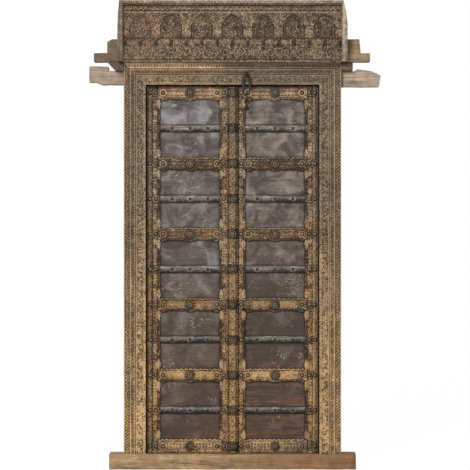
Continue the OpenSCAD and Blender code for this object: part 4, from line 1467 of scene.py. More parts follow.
        # Each peg's lower part is painted dark as shade and its top lighter, as lit from above.
        for vert in build.verts:
            vert[layer] = -0.2 if vert.co.z < middle_z else 0.3
        tidy_faces(build)
        return as_mesh(build, "pegs")

    def cap(self) -> Mesh:
        """Moulded cap with a band of zigzag cuts."""
        low, high = corners_of("cornice_cap")
        reach, tall = self.front - low[1], high[2] - low[2]
        rise_z = [low[2] + share * tall for _, share in self.cap_line]
        out_y = [self.front - share * reach for share, _ in self.cap_line]
        columns = np.unique(np.concatenate([spread(a, b, self.pace) for a, b in zip(rise_z, rise_z[1:])]))
        bottom, top, back = rise_z[0], rise_z[-1], high[1]

        def carving(across: Array, along: Array) -> Relief:
            """Zigzag band, groove and dashes of the cap, with painted shade lines under its steps."""
            depth = np.interp(across, rise_z, out_y)
            middle = (rise_z[2] + rise_z[3]) / 2
            half = (rise_z[3] - rise_z[2]) / 2
            wave = np.abs(across - middle - half * 0.5 * zigzag(along, self.zigzag_pitch))
            band = np.abs(across - middle) < half * 0.86
            cut = np.where(band, 1 - ridge(wave, half * 0.34), 0.0)
            groove = ((across > rise_z[4] - 1) & (across < rise_z[5] + 1)) * 1.0
            slant = (along + 0.5 * across) % self.dash_pitch - self.dash_pitch / 2
            dashes = (across > rise_z[6]) * ridge(slant, 3.0)
            line = np.minimum.reduce([np.abs(across - z) for z in (rise_z[2], rise_z[6], rise_z[8])])
            # Dark lines under the mouldings' steps are painted shade.
            carve = 0.95 - 0.6 * cut - 0.9 * groove - 0.4 * dashes - 0.6 * ridge(line, 2.6)
            depth = depth + 3.0 * cut + 1.2 * dashes
            return worn(on_face(along, across), depth, np.clip(carve, 0, 1), 47, self.cap_wear)

        section = Section(columns, [(top, out_y[-1]), (top, back), (bottom, back), (bottom, out_y[0])])
        return self.level_member(section, high[0] - low[0], carving, 1.0)

    def cheek(self, side: Side) -> Mesh:
        """End board with painted shade at its joint against the frieze, a worn bright strip and a speckled
        outer edge.

        Args:
            side: end of the cornice.

        Returns:
            The board's mesh.
        """
        mesh = weathered(f"{side.word}_cheek", swell=0.6, pace=5.0, seed=51 + side.value)
        spots = np.array([v.co for v in mesh.vertices]) / MM
        away = np.abs(spots[:, 0]) - self.high[0]
        noise = Noise(56 + side.value)
        # Darker near the frieze: painted shade at the joint.
        carve = 0.46 + 0.32 * noise.at(spots, 9) - 0.5 * rise(away, 6.0, 1.0) + 0.45 * ridge(away - 10, 4.0)
        carve -= 0.35 * rise(spots[:, 2], self.level(0.35), self.level(0.12))
        write_values(mesh, CARVE, np.clip(carve, 0, 1))
        return mesh

    def build(self) -> None:
        """Make and dress the cornice's pieces."""
        frieze = joined([self.board(), self.pegs()])
        add_piece("frieze_carving", frieze, "frame", "cornice_wood", CORNICE_WOOD, "frieze_board")
        add_piece("cap_moulding", self.cap(), "frame", "cornice_wood", CORNICE_WOOD, "cornice_cap")
        for i, side in enumerate(Side):
            cheek = f"{side.word}_cheek"
            add_piece(f"{cheek}_board", self.cheek(side), "frame", "cornice_wood", CHEEK_WOOD, cheek)
            pad = f"{side.word}_pad"
            add_piece(f"{pad}_block", weathered(pad, seed=53 + i), "frame", "raw_wood", PAD_WOOD, pad)
        beam = weathered("cornice_beam", round_off=3.0, swell=1.2, seed=55)
        add_piece("beam_timber", beam, "frame", "raw_wood", BEAM_WOOD, "cornice_beam")


@dataclass(frozen=True)
class Head:
    """Place and size of one iron head, with X measured outwards from the door's middle."""

    x: float
    seat: float
    z: float
    radius: float


@dataclass
class Leaf:
    """One leaf: carved stiles and rails, boards, straps and their studs."""

    side: Side
    pace: float = 2.4
    reach: float = 15.0
    panel_sink: float = 2.0
    groove: float = 2.4
    heel_r: float = 18.0
    corner_len: float = 54.0
    corner_h: float = 12.5
    strap_len: float = 40.0
    strap_h: float = 11.0
    left_nose: float = 1.9
    right_nose: float = 2.4
    notch_pitch: float = 15.0
    notch_foot: float = 7.0
    notch_h: float = 2.8
    scallop_pitch: float = 22.0
    scallop_h: float = 4.0
    lobe_away: float = 24.0
    lobe_half: float = 22.0
    middle_lobe_half: float = 27.0
    lobe_h: float = 9.0
    edge_thick: float = 2.0
    step_depth: float = 3.0
    step_room: float = 1.3
    strap_gap: float = 7.0
    strap_half: float = 17.0
    pivot_r: float = 14.0
    pivot_round: float = 1.5
    pivot_lap: float = 5.0
    soot_arc: Spot = (-30.0, 10.0)
    rail_reach: float = 13.0
    cover_x: float = 24.0
    carved_x: float = 25.0
    lattice_pitch: float = 30.0
    inner_pitch: float = 24.0
    wear: float = 0.8
    panel_pace: float = 5.0
    strap_pace: float = 4.0
    plain_foot: float = 700.0
    plain_head: float = 1000.0
    body: str = field(init=False)
    front: float = field(init=False)
    back: float = field(init=False)
    sunk: float = field(init=False)
    seam: float = field(init=False)
    foot: float = field(init=False)
    top: float = field(init=False)
    shown_top: float = field(init=False)
    pivot: Spot = field(init=False)
    studs: list[Head] = field(init=False)
    bosses: list[Head] = field(init=False)
    nails: list[Head] = field(init=False)
    step_x: float = field(init=False)
    strap_z: list[float] = field(init=False)
    sight_in: float = field(init=False)
    sight_out: float = field(init=False)
    cells: list[Spot] = field(init=False)

    def __post_init__(self) -> None:
        """Take the leaf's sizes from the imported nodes, measured outwards from the door's middle."""
        name = self.side.word
        self.body = f"{name}_leaf"
        low, high = self.span(f"{name}_rail_1")
        panel_low, panel_high = self.span(f"{name}_panel_1")
        stile_low, stile_high = self.span(f"{name}_meeting_stile")
        self.front, self.back = low[1], high[1]
        self.sunk = panel_low[1] + self.panel_sink
        self.seam, self.foot, self.top = stile_low[0], stile_low[2], stile_high[2]
        self.shown_top = corners_of("astragal")[1][2]
        joint = next(j for j in frame["joints"] if j["name"] == f"{name}_leaf_swing")
        self.pivot = (abs(joint["pos_m"][0]) / MM, joint["pos_m"][1] / MM)
        self.studs = self.heads_of("studs")
        self.bosses = self.heads_of("rosettes")
        self.nails = self.heads_of("strap_nails")
        self.step_x = max(stud.x - stud.radius for stud in self.studs) - self.step_room
        straps = [self.span(f"{name}_strap_{i}") for i in range(1, 6)]
        self.strap_z = [(a[2] + b[2]) / 2 for a, b in straps]
        panels = [corners_of(f"{name}_panel_{i}") for i in range(1, 6)]
        house = panel_high[0] - straps[0][1][0] - self.strap_gap
        self.sight_in = panel_low[0] + house
        self.sight_out = panel_high[0] - house
        self.cells = [(a[2] + house, b[2] - house) for a, b in panels]

    def heads_of(self, kind: str) -> list[Head]:
        """Iron heads of one kind on this leaf."""
        boxes = [self.outward(box) for box in solids_of(f"{self.side.word}_{kind}")]
        return [Head((a[0] + b[0]) / 2, b[1], (a[2] + b[2]) / 2, (b[0] - a[0]) / 2) for a, b in boxes]

    def outward(self, box: Box) -> Box:
        """A box with its X measured outwards from the door's middle."""
        low, high = box
        if self.side is Side.RIGHT:
            return low, high
        return np.array([-high[0], low[1], low[2]]), np.array([-low[0], high[1], high[2]])

    def span(self, node: str) -> Box:
        """A node's corners, with X measured outwards."""
        return self.outward(corners_of(node))

    def placing(self, x: Array, y: Array, z: Array) -> Places:
        """Place in the frame of a place measured outwards."""
        return self.side.value * x, y, z

    def corner_lobe(self, z: Array) -> Array:
        """Reach of the lobes at the corners of the panels, at heights."""
        reach = np.zeros(z.shape)
        for low, high in self.cells:
            for away in (z - low, high - z):
                share = np.clip(away / self.corner_len, 0, 1)
                reach = np.maximum(reach, self.corner_h * np.sin(np.pi * share ** 0.72) ** 0.8)
        return reach

    def smooth_lobes(self, inset: Array, z: Array, carve: Array) -> Array:
        """Carve values with the corner lobes left smooth and worn pale."""
        share = self.corner_lobe(z) / self.corner_h
        plain = rise(26.0 * share - inset, 0.0, 10.0)
        return carve + plain * (0.9 - carve)

    def stile_edge(self, z: Array) -> Array:
        """Reach of a stile's cusped edge over the panels, at heights."""
        reach = self.corner_lobe(z)
        for low, high in self.cells:
            inside = (z > low) & (z < high)
            notch = self.notch_foot + self.notch_h * np.abs(np.sin(np.pi * (z - low) / self.notch_pitch))
            reach = np.where(inside, np.maximum(reach, notch), reach)
        for z0 in self.strap_z:
            reach = np.maximum(reach, self.strap_h * ridge(z - z0, self.strap_len / 2))
        return reach

    def rail_edge(self, x: Array, lobed: bool) -> Array:
        """Reach of a rail's cusped edge over the panels, at places outwards."""
        free = (x > self.sight_in + self.corner_h) & (x < self.sight_out - self.corner_h)
        reach = self.scallop_h * np.abs(np.sin(np.pi * (x - self.sight_in) / self.scallop_pitch)) ** 0.7
        if lobed:
            middle = (self.sight_in + self.sight_out) / 2
            for spot, size in ((self.sight_in + self.lobe_away, self.lobe_half),
                               (middle, self.middle_lobe_half),
                               (self.sight_out - self.lobe_away, self.lobe_half)):
                reach = np.maximum(reach, self.lobe_h * ridge(x - spot, size))
        return np.where(free, reach, 0.0)

    def seats(self, x: Array, z: Array, carve: Array, depth: Array) -> Relief:
        """Raised rings round the studs and dark seats round the rosettes.

        Args:
            x: places outwards.
            z: heights.
            carve: carve values.
            depth: depths of the carving.

        Returns:
            The carve values and the depths with the rings.
        """
        for stud in self.studs:
            radius = stud.radius
            near = np.flatnonzero((np.abs(x - stud.x) < radius + 9) & (np.abs(z - stud.z) < radius + 9))
            away = np.hypot(x[near] - stud.x, z[near] - stud.z)
            ring = ridge(away - radius - 3.0, 3.2)
            moat = ridge(away - radius - 7.5, 2.6)
            level = max(self.front, stud.seat - 0.1)
            on_rail = self.sight_in < stud.x < self.sight_out
            bright = (1.05 if on_rail else 0.75) - 0.4 * (stud.z < self.strap_z[2])
            carve[near] = np.maximum(carve[near] * (1 - moat), bright * ring)
            depth[near] = np.where(away < radius + 5, level + 1.4 * (1 - ring), depth[near])
        for boss in self.bosses:
            away = np.hypot(x - boss.x, z - boss.z)
            carve *= 1 - 0.8 * rise(away, boss.radius + 5.0, boss.radius + 1.0)
        return carve, depth

    def finished(self, x: Array, z: Array, inset: Array, relief: Relief, seed: int) -> Relief:
        """Carving with the heads' seats and wear, sunk to the panels past its cusped edge.

        Args:
            x: places outwards.
            z: heights.
            inset: distance from the cusped edge.
            relief: depths and carve values before.
            seed: number that fixes the wear.

        Returns:
            Depths and carve values.
        """
        depth, carve = relief
        carve, depth = self.seats(x, z, carve, depth)
        depth, carve = worn(on_face(x, z), depth, carve, seed, self.wear)
        # Past the cusped edge the carve value is 0, painted dark: partly dirt, partly shade along the
        # framing.
        bare = inset < 0
        return np.where(bare, self.sunk, depth), np.where(bare, 0.0, carve)

    def upright(self, section: Section, carving: Carving, tinting: Tinting) -> Mesh:
        """Stile of the leaf's full height."""
        tall = self.top - self.foot
        return member(section, tall, self.pace, lambda x, share: self.foot + share * tall, carving,
                      self.placing, tinting)

    def cut(self, inset: Array, across: Array, along: Array, half: float, pitch: float) -> Array:
        """Height of the carving on a member's face, from 0 to 1.

        Args:
            inset: distance from the cusped edge.
            across: distance from the middle of the carved strip.
            along: place along the member.
            half: half of the strip's width.
            pitch: length of one crossing.

        Returns:
            Heights from 0 in the cuts to 1 on the crests.
        """
        across = across + 2.4 * Noise(59).at(on_face(across, along), 15)
        rim = 0.5 * ridge(inset - 1.8, 2.6)
        wave = half * 0.8 * zigzag(along, pitch)
        lattice = np.maximum(ridge(across - wave, 2.6), ridge(across + wave, 2.6))
        buds = ridge(np.hypot(across, (along + pitch / 4) % (pitch / 2) - pitch / 4), 3.4)
        strip = np.abs(across) < half
        border = ridge(np.abs(across) - half - 2.0, 2.4)
        made = np.maximum(np.maximum(rim, border), np.where(strip, np.maximum(lattice, buds), 0.15))
        rough = Noise(58)
        spots = on_face(across, along)
        return np.clip(made * (0.8 + 0.5 * rough.at(spots, 21)) + 0.3 * rough.at(spots, 6), 0, 1)

    def hanging_stile(self) -> Mesh:
        """Outer stile with its round heel and pivots."""
        sight, (pivot_x, pivot_y) = self.sight_out, self.pivot
        step_x, under = self.step_x, self.sunk + self.edge_thick
        columns = np.unique(np.concatenate([spread(sight - self.reach, step_x - 0.4, self.pace),
                                            spread(step_x + 0.4, pivot_x, self.pace)]))
        angles = np.linspace(-90, 90, 11)
        heel = []
        for angle in angles:
            turn = math.radians(angle)
            # Part of the round heel is painted black as the shadow in the gap by the jamb.
            painted_shadow = -1.0 if self.soot_arc[0] < angle < self.soot_arc[1] else 0.5
            place = pivot_x + self.heel_r * math.cos(turn), pivot_y + self.heel_r * math.sin(turn)
            heel.append((*place, painted_shadow))
        corners = [(pivot_x, self.front + self.step_depth, 0.3), *heel, (pivot_x, self.back),
                   (sight, self.back), (sight, under), (sight - self.reach, under),
                   (sight - self.reach, self.sunk)]

        def carving(x: Array, z: Array) -> Relief:
            """Lattice inside the step and a plain strip outside it."""
            inset = x - (sight - self.stile_edge(z))
            middle = (sight + step_x) / 2 + 4.5
            carve = self.cut(inset, x - middle, z, (step_x - sight) / 2 - 6.5, self.lattice_pitch)
            carve = self.smooth_lobes(inset, z, carve)
            depth = self.front + self.groove * (1 - carve)
            outer = x > step_x
            strip = (x - step_x) / (pivot_x - step_x)
            plain = 0.48 + 0.15 * self.side.value + 0.2 * ridge(strip - 0.8, 0.25)
            carve = np.where(outer, plain - (0.4 - 0.15 * self.side.value) * ridge(strip, 0.3), carve)
            depth = np.where(outer, self.front + self.step_depth, depth)
            return self.finished(x, z, inset, (depth, carve), 61 + self.side.value)

        body = self.upright(Section(columns, corners, 8.0), carving,
                            lambda x, z: self.reddened(x, z, x - sight + self.stile_edge(z)))
        return joined([body, self.pivots()])

    def pivots(self) -> Mesh:
        """Round tenons on which the leaf turns, at the foot and the head of its stile."""
        low, high = corners_of(f"{self.side.word}_hanging_stile")
        build = bmesh.new()
        x, y = self.side.value * self.pivot[0], self.pivot[1]
        radius, most = self.pivot_r, self.pivot_round
        for start, end in ((low[2], self.foot + self.pivot_lap), (self.top - self.pivot_lap, high[2])):
            edge = most if start < self.foot else 0.0
            line = [(0, start), (radius - edge, start), (radius, start + edge), (radius, end - most + edge),
                    (radius - most + edge, end), (0, end)]
            spin_line(build, [(x + r, y, z) for r, z in line], (x, y, 0), (0, 0, 1), 24)
        to_metres(build)
        tidy_faces(build)
        return as_mesh(build, "pivots")

    def meeting_stile(self) -> Mesh:
        """Inner stile beside the seam."""
        sight, under = self.sight_in, self.sunk + self.edge_thick
        start = max(self.seam, self.cover_x)
        columns = spread(start, sight + self.reach, self.pace)
        corners = [(sight + self.reach, self.sunk), (sight + self.reach, under), (sight, under),
                   (sight, self.back)]
        # The corners at the seam carry carve 0, painted dark as shade in the seam.
        if self.side is Side.LEFT:
            corners += [(self.seam, self.back), (self.seam - self.left_nose, self.pivot[1], 0.0),
                        (self.seam, self.front, 0.0), (start, self.front)]
        else:
            corners += [(self.seam - self.right_nose, self.back, 0.0), (self.seam, self.front, 0.0)]

        def carving(x: Array, z: Array) -> Relief:
            """Lattice between the astragal and the cusped edge."""
            inset = sight + self.stile_edge(z) - x
            middle = (self.carved_x + sight) / 2 - 1.5
            carve = self.cut(inset, x - middle, z, (sight - self.carved_x) / 2 - 6, self.inner_pitch)
            carve = self.smooth_lobes(inset, z, carve)
            depth = self.front + self.groove * (1 - carve)
            return self.finished(x, z, inset, (depth, carve), 65 + self.side.value)

        return self.upright(Section(columns, corners, 10.0), carving,
                            lambda x, z: self.reddened(x, z, sight + self.stile_edge(z) - x))

    def reddened(self, x: Array, z: Array, inset: Array) -> Array:
        """Share of red-brown wood, which shows in patches along the cusped edges."""
        patch = rise(Noise(67 + self.side.value).at(on_face(x, z), 110), -0.5, 0.35)
        return (0.25 + 0.65 * rise(inset, 11.0, 4.0)) * patch

    def rail(self, low: float, high: float, lobed: bool, scalloped: bool, seed: int) -> Mesh:
        """Rail between the stiles.

        Args:
            low: height of its lower edge.
            high: height of its upper edge.
            lobed: whether its lower edge has lobes over a panel.
            scalloped: whether its upper edge has scallops over a panel.
            seed: number that fixes its wear.

        Returns:
            The rail's mesh.
        """
        sunk, under = self.sunk, self.sunk + self.edge_thick
        bottom = low - self.rail_reach if lobed else low
        top = high + self.rail_reach if scalloped else high
        corners = [(top, sunk if scalloped else self.front)]
        corners += [(top, under), (high, under)] if scalloped else []
        corners += [(high, self.back), (low, self.back)]
        corners += [(low, under), (bottom, under)] if lobed else []
        corners += [(bottom, sunk if lobed else self.front)]
        shown = min(high, self.shown_top)

        def carving(z: Array, x: Array) -> Relief:
            """Lattice, rows of teeth on the bottom rail, edges towards the panels, and painted shade on the
            top rail under the lintel.
            """
            below = z - low + (self.rail_edge(x, True) if lobed else 0)
            above = high - z + (self.rail_edge(x, False) if scalloped else 0)
            inset = np.minimum(below, above)
            middle = (low + shown) / 2
            carve = self.cut(inset, z - middle, x, (shown - low) / 2 - 11, self.lattice_pitch)
            share = (z - low) / (shown - low)
            if lobed and scalloped:
                plain = 0.8 * rise(middle, self.plain_head, self.plain_foot)
                plain = plain * rise(np.abs(share - 0.5), 0.36, 0.2)
                carve = carve + plain * (0.72 + 0.2 * Noise(57).at(on_face(x, z), 11) - carve)
            if not lobed:
                rows = np.minimum(np.abs(share - 0.36), np.abs(share - 0.68)) * (shown - low)
                carve = np.where(rows < 5.5, 0.9 * (rows > 2.75 * (1 + zigzag(x, 15.0))), carve)
            if not scalloped:
                # The top rail's upper half is painted darker, as shade under the lintel.
                carve = carve * (1 - 0.25 * rise(share, 0.5, 0.62)) + 0.3 * ridge(share - 0.42, 0.09)
            depth = self.front + self.groove * (1 - np.clip(carve, 0, 1))
            if scalloped:
                carve = np.maximum(carve, 1.1 * ridge(above - 1.5, 3.0))
            depth, carve = self.finished(x, z, inset, (depth, carve), seed)
            # Behind the lintel's lip the carving is painted dark as shade.
            return depth, carve * rise(self.shown_top - z, -4.0, 3.0)

        wide = self.sight_out - self.sight_in
        return member(Section(spread(bottom, top, self.pace), corners, 10.0), wide, self.pace,
                      lambda z, share: self.sight_in + share * wide, carving,
                      lambda z, depth, x: self.placing(x, depth, z),
                      lambda z, x: self.reddened(x, z, np.minimum(z - low, high - z)))

    def panel(self, i: int) -> Mesh:
        """Board of a cell, a little warped, with painted shade along its edges at the framing and the strap.

        Args:
            i: number of the cell from the top.

        Returns:
            The board's mesh.
        """
        low, high = self.span(f"{self.side.word}_panel_{i}")
        (left, front, foot), (right, back, head) = low, high
        bottom, top = self.cells[i - 1]
        noise = Noise(140 + i + 7 * self.side.value)

        def carving(x: Array, z: Array) -> Relief:
            """Warp of the board, and its room from the framing and the strap."""
            cusp = self.stile_edge(z)
            room = np.minimum(self.sight_out - cusp - x, x - self.sight_in - cusp)
            room = np.minimum(room, top - self.rail_edge(x, True) - z)
            room = np.minimum(room, z - bottom - self.rail_edge(x, False))
            room = np.minimum(room, np.abs(z - self.strap_z[i - 1]) - self.strap_half)
            spots = on_face(x, z)
            warp = 0.7 * noise.at(spots, 80) + 0.3 * noise.at(spots, 25)
            # The carve value falls to 0 at the framing and the strap, where it paints shade along the board's
            # edges.
            return front + np.where(room > 0, warp, 0.0), rise(room, 0.0, 12.0)

        corners = [(right, front), (right, back), (left, back), (left, front)]
        section = Section(spread(left, right, self.panel_pace), corners, 20.0)
        return member(section, head - foot, self.panel_pace, lambda x, share: foot + share * (head - foot),
                      carving, self.placing)

    def strap(self, i: int) -> Mesh:
        """Half-round iron strap over a panel.

        Args:
            i: number of the panel from the top.

        Returns:
            The strap's mesh.
        """
        low, high = self.span(f"{self.side.word}_strap_{i}")
        wide, half = high[0] - low[0], (high[2] - low[2]) / 2
        middle = self.strap_z[i - 1]
        front, back = low[1], high[1]
        columns = middle + half * np.sin(np.radians(np.linspace(-90, 90, 15)))
        noise = Noise(80 + i + 10 * self.side.value)

        def carving(z: Array, x: Array) -> Relief:
            """Round back with hammer marks, painted lighter towards its upper edge and darker towards its
            lower, with painted highlights round the nails and painted shade lines at both rims.
            """
            crown = np.clip(1 - ((z - middle) / half) ** 2, 0, 1)
            spots = on_face(x, z)
            dents = 0.6 * noise.at(spots, 26) + 0.25 * noise.at(spots, 9)
            depth = back - (back - front) * crown ** 0.6 + dents * crown
            # The strap is painted lighter towards its upper edge and darker towards its lower, as lit from
            # above.
            light = (0.56 if i < 4 else 0.4) + 0.45 * (z - middle) / half + 0.25 * noise.at(spots, 40)
            for nail in self.nails:
                # Pale rings round the nails are painted highlights.
                light = light + 0.4 * ridge(np.hypot(x - nail.x, z - nail.z) - nail.radius - 2.5, 3.5)
            # Thin dark lines at both rims are painted shade.
            edge = np.where(z > middle, rise(crown, 0.02, 0.2), rise(crown, 0.12, 0.55))
            return depth, np.clip(light * edge, 0, 1)

        def placing(z: Array, depth: Array, x: Array) -> Places:
            """Places in the frame, a little bent along the strap."""
            return self.placing(x, depth, z + 0.9 * noise.at(on_face(x, np.zeros(x.shape)), 70))

        section = Section(columns, [(middle + half, back), (middle - half, back)], 12.0)
        return member(section, wide, self.strap_pace, lambda z, share: low[0] + share * wide,
                      carving, placing)

    def build(self) -> None:
        """Make and dress the leaf's pieces."""
        name = self.side.word
        board = LEFT_BOARD if self.side is Side.LEFT else RIGHT_BOARD
        for node, mesh in (("hanging_stile", self.hanging_stile()), ("meeting_stile", self.meeting_stile())):
            add_piece(f"{name}_{node}_carved", mesh, self.body, "leaf_wood", STILE_WOOD, f"{name}_{node}")
        edges = [self.top, *[z for cell in self.cells for z in reversed(cell)], self.foot]
        names = ["top_rail", *[f"rail_{i}" for i in range(1, 5)], "bottom_rail"]
        for k, node in enumerate(names):
            mesh = self.rail(edges[2 * k + 1], edges[2 * k], k < 5, k > 0, 70 + k + 9 * self.side.value)
            wood = HEAD_RAIL_WOOD if k in (0, 5) else RAIL_WOOD
            add_piece(f"{name}_{node}_carved", mesh, self.body, "leaf_wood", wood, f"{name}_{node}")
        for i in range(1, 6):
            panel, strap = f"{name}_panel_{i}", f"{name}_strap_{i}"
            add_piece(f"{panel}_board", self.panel(i), self.body, "panel_wood", board, panel)
            add_piece(f"{strap}_forged", self.strap(i), self.body, "strap_iron", STRAP_IRON, strap)


@dataclass
class Studding:
    """Nails, studs and rosettes of one leaf."""

    side: Side
    round_steps: int = 16
    flower_steps: int = 48
    petals: int = 8
    waist: float = 0.56
    askew: float = 0.05
    flower_line: tuple[Spot, ...] = ((1, -0.06), (1, 0.14), (0.96, 0.38), (0.85, 0.58), (0.72, 0.66),
                                     (0.61, 0.6), (0.54, 0.46), (0.5, 0.66), (0.4, 0.88), (0.28, 0.96),
                                     (0.22, 0.84), (0.16, 0.86), (0, 0.84))

    def spun(self, line: Sequence[Spot], steps: int) -> BMesh:
        """Turn a profile about the Y axis, standing out to the front.

        Args:
            line: radii and heights of the profile.
            steps: number of faces round it.

        Returns:
            The turned shape.
        """
        build = bmesh.new()
        spin_line(build, [(r, -h, 0) for r, h in line], (0, 0, 0), (0, 1, 0), steps)
        bmesh.ops.remove_doubles(build, verts=build.verts, dist=1e-4)
        return build

    def dome(self, radius: float, height: float) -> BMesh:
        """Round head of a stud, with a flat rim."""
        angles = np.radians(np.linspace(0, 90, 6))
        crown = [(radius * 0.94 * math.cos(a), height * (0.16 + 0.84 * math.sin(a))) for a in angles[:-1]]
        return self.spun([(radius, -0.8), (radius, height * 0.14), *crown, (0, height)], self.round_steps)

    def rosette(self, radius: float, height: float) -> BMesh:
        """Flower of rounded petals round a domed middle.

        Args:
            radius: length from the middle to the petals' tips.
            height: height of its middle.

        Returns:
            The flower, standing out to the front.
        """
        build = self.spun([(radius * r, height * h) for r, h in self.flower_line], self.flower_steps)
        for vert in build.verts:
            reach = math.hypot(vert.co.x, vert.co.z) / radius
            if reach < self.waist:
                continue
            lobe = abs(math.cos(self.petals / 2 * math.atan2(vert.co.z, vert.co.x)))
            share = min(1.0, (reach - self.waist) / 0.3)
            shrink = 1 - 0.2 * share * (1 - lobe) ** 1.5
            vert.co.x *= shrink
            vert.co.z *= shrink
            if vert.co.y < 0:
                vert.co.y *= 0.62 + 0.38 * lobe
        return build

    def heads(self, node: str, shape: Callable[[float, float], BMesh],
              tones: tuple[Sequence[float], Sequence[float]], seed: int) -> Mesh:
        """One head for each solid of a node, each a little askew.

        Args:
            node: name of the node.
            shape: method that makes a head from its radius and height.
            tones: shares of the radius and the carve values there.
            seed: number that fixes the turns.

        Returns:
            One mesh of all heads.
        """
        draw = np.random.default_rng(seed)
        made = []
        for low, high in solids_of(node):
            radius = (high[0] - low[0]) / 2
            head = shape(radius, high[1] - low[1])
            layer = head.verts.layers.float.new(CARVE)
            for vert in head.verts:
                vert[layer] = float(np.interp(math.hypot(vert.co.x, vert.co.z) / radius, *tones))
            turn = Matrix.Rotation(draw.uniform(0, math.tau), 3, "Y")
            nod, sway = [Matrix.Rotation(draw.normal(0, self.askew), 3, axis) for axis in "XZ"]
            for matrix in (turn, nod @ sway):
                bmesh.ops.rotate(head, verts=head.verts, cent=(0, 0, 0), matrix=matrix)
            middle = (low + high) / 2
            bmesh.ops.translate(head, verts=head.verts, vec=(middle[0], high[1], middle[2]))
            to_metres(head)
            tidy_faces(head)
            made.append(as_mesh(head, "head"))
        return joined(made)

    def build(self) -> None:
        """Make and dress the heads."""
        name = self.side.word
        # Low tones at the heads' rims and in the rosettes' groove darken them with painted shade.
        round_tones = ((0, 0.4, 0.6, 0.78, 1), (1.0, 0.85, 0.5, 0.26, 0.2))
        flower_tones = ((0, 0.15, 0.23, 0.42, 0.56, 0.68, 0.86, 1),
                        (0.0, 0.0, 1.1, 0.95, 0.06, 0.6, 0.75, 0.08))
        kinds = (("strap_nails", self.dome, round_tones, NAIL_IRON),
                 ("studs", self.dome, round_tones, STUD_IRON),
                 ("rosettes", self.rosette, flower_tones, ROSETTE_IRON))
        for k, (kind, shape, tones, iron) in enumerate(kinds):
            node = f"{name}_{kind}"
            mesh = self.heads(node, shape, tones, 91 + k + self.side.value)
            add_piece(f"{node}_forged", mesh, f"{name}_leaf", "stud_iron", iron, node)


@dataclass
class Astragal:
    """Moulding on the left leaf that covers the seam."""

    pace: float = 2.4
    pitch: float = 26.0
    notch_pitch: float = 12.0
    wear: float = 0.8
    shares: tuple[Spot, ...] = ((0.5, 0), (0.5, 0.42), (0.4, 0.62), (0.34, 0.5), (0.28, 0.8), (0.24, 1))

    def mesh(self) -> Mesh:
        """The moulding with notched beads at its edges and leaves on its crown."""
        low, high = corners_of("astragal")
        half, back = high[0], high[1]
        tall, thick = high[2] - low[2], high[1] - low[1]
        across = [s[0] * 2 * half for s in self.shares]
        depths = [back - s[1] * thick for s in self.shares]
        places = [-a for a in across[1:]] + across[1:][::-1]
        levels = depths[1:] + depths[1:][::-1]
        columns = np.unique(np.concatenate([spread(a, b, self.pace) for a, b in zip(places, places[1:])]))
        crown = across[-1]
        bosses = [box for box in solids_of("left_rosettes") if box[0][0] < 0 < box[1][0]]

        def carving(x: Array, z: Array) -> Relief:
            """Notched beads, hollows and the crown's leaves, dark beside the rosettes."""
            depth = np.interp(x, places, levels)
            side = np.abs(x)
            slant = (z + side * 0.6) % self.notch_pitch - self.notch_pitch / 2
            notch = (side > across[3]) * ridge(slant, 2.6)
            wave = np.abs(side - crown * 0.55 * (1 + zigzag(z, self.pitch)) / 1.1)
            vein = (side < crown) * ridge(wave, 2.0)
            hollow = ridge(side - across[3], 3.0)
            carve = np.clip(0.64 - 0.7 * notch - 0.45 * vein - 0.85 * hollow, 0, 1)
            for foot, head in bosses:
                away = np.abs(z - (foot[2] + head[2]) / 2) - (head[2] - foot[2]) / 2
                carve = carve * (1 - 0.85 * rise(away, 4.0, 0.0))
            return worn(on_face(x, z), depth + 2.2 * notch + 1.0 * vein, carve, 77, self.wear)

        section = Section(columns, [(half, levels[-1]), (half, back), (-half, back), (-half, levels[0])], 8.0)
        return member(section, tall, self.pace, lambda x, share: low[2] + share * tall, carving,
                      lambda x, depth, z: (x, depth, z))

    def build(self) -> None:
        """Make and dress the moulding."""
        add_piece("astragal_moulding", self.mesh(), "left_leaf", "leaf_wood", STILE_WOOD, "astragal")


@dataclass
class Chain:
    """Hasp chain that hangs before the doorway."""

    swell: float = 2.2
    bend: float = 18.0
    pace: float = 5.0

    def hasp(self) -> Mesh:
        """The hasp with its two bars hammered broader between its bends."""
        low, high = corners_of("chain_hasp")
        build = copy_of("chain_hasp")
        for z in spread(low[2] + self.bend, high[2] - self.bend, self.pace):
            cut_through(build, (0, 0, z * MM), (0, 0, 1))
        build.normal_update()
        for vert in build.verts:
            z = vert.co.z / MM
            share = rise(min(z - low[2], high[2] - z), self.bend, self.bend + 2 * self.pace)
            vert.co.x += vert.normal.x * self.swell * share * MM
        tidy_faces(build)
        return as_mesh(build, "hasp")

    def build(self) -> None:
        """Make the hasp and give the other links their finish."""
        add_piece("hasp_bars", self.hasp(), "hasp", "chain_iron", CHAIN_IRON, "chain_hasp")
        for node in ("chain_staple", "chain_link", "chain_drop"):
            dress_node(node, CHAIN_IRON)


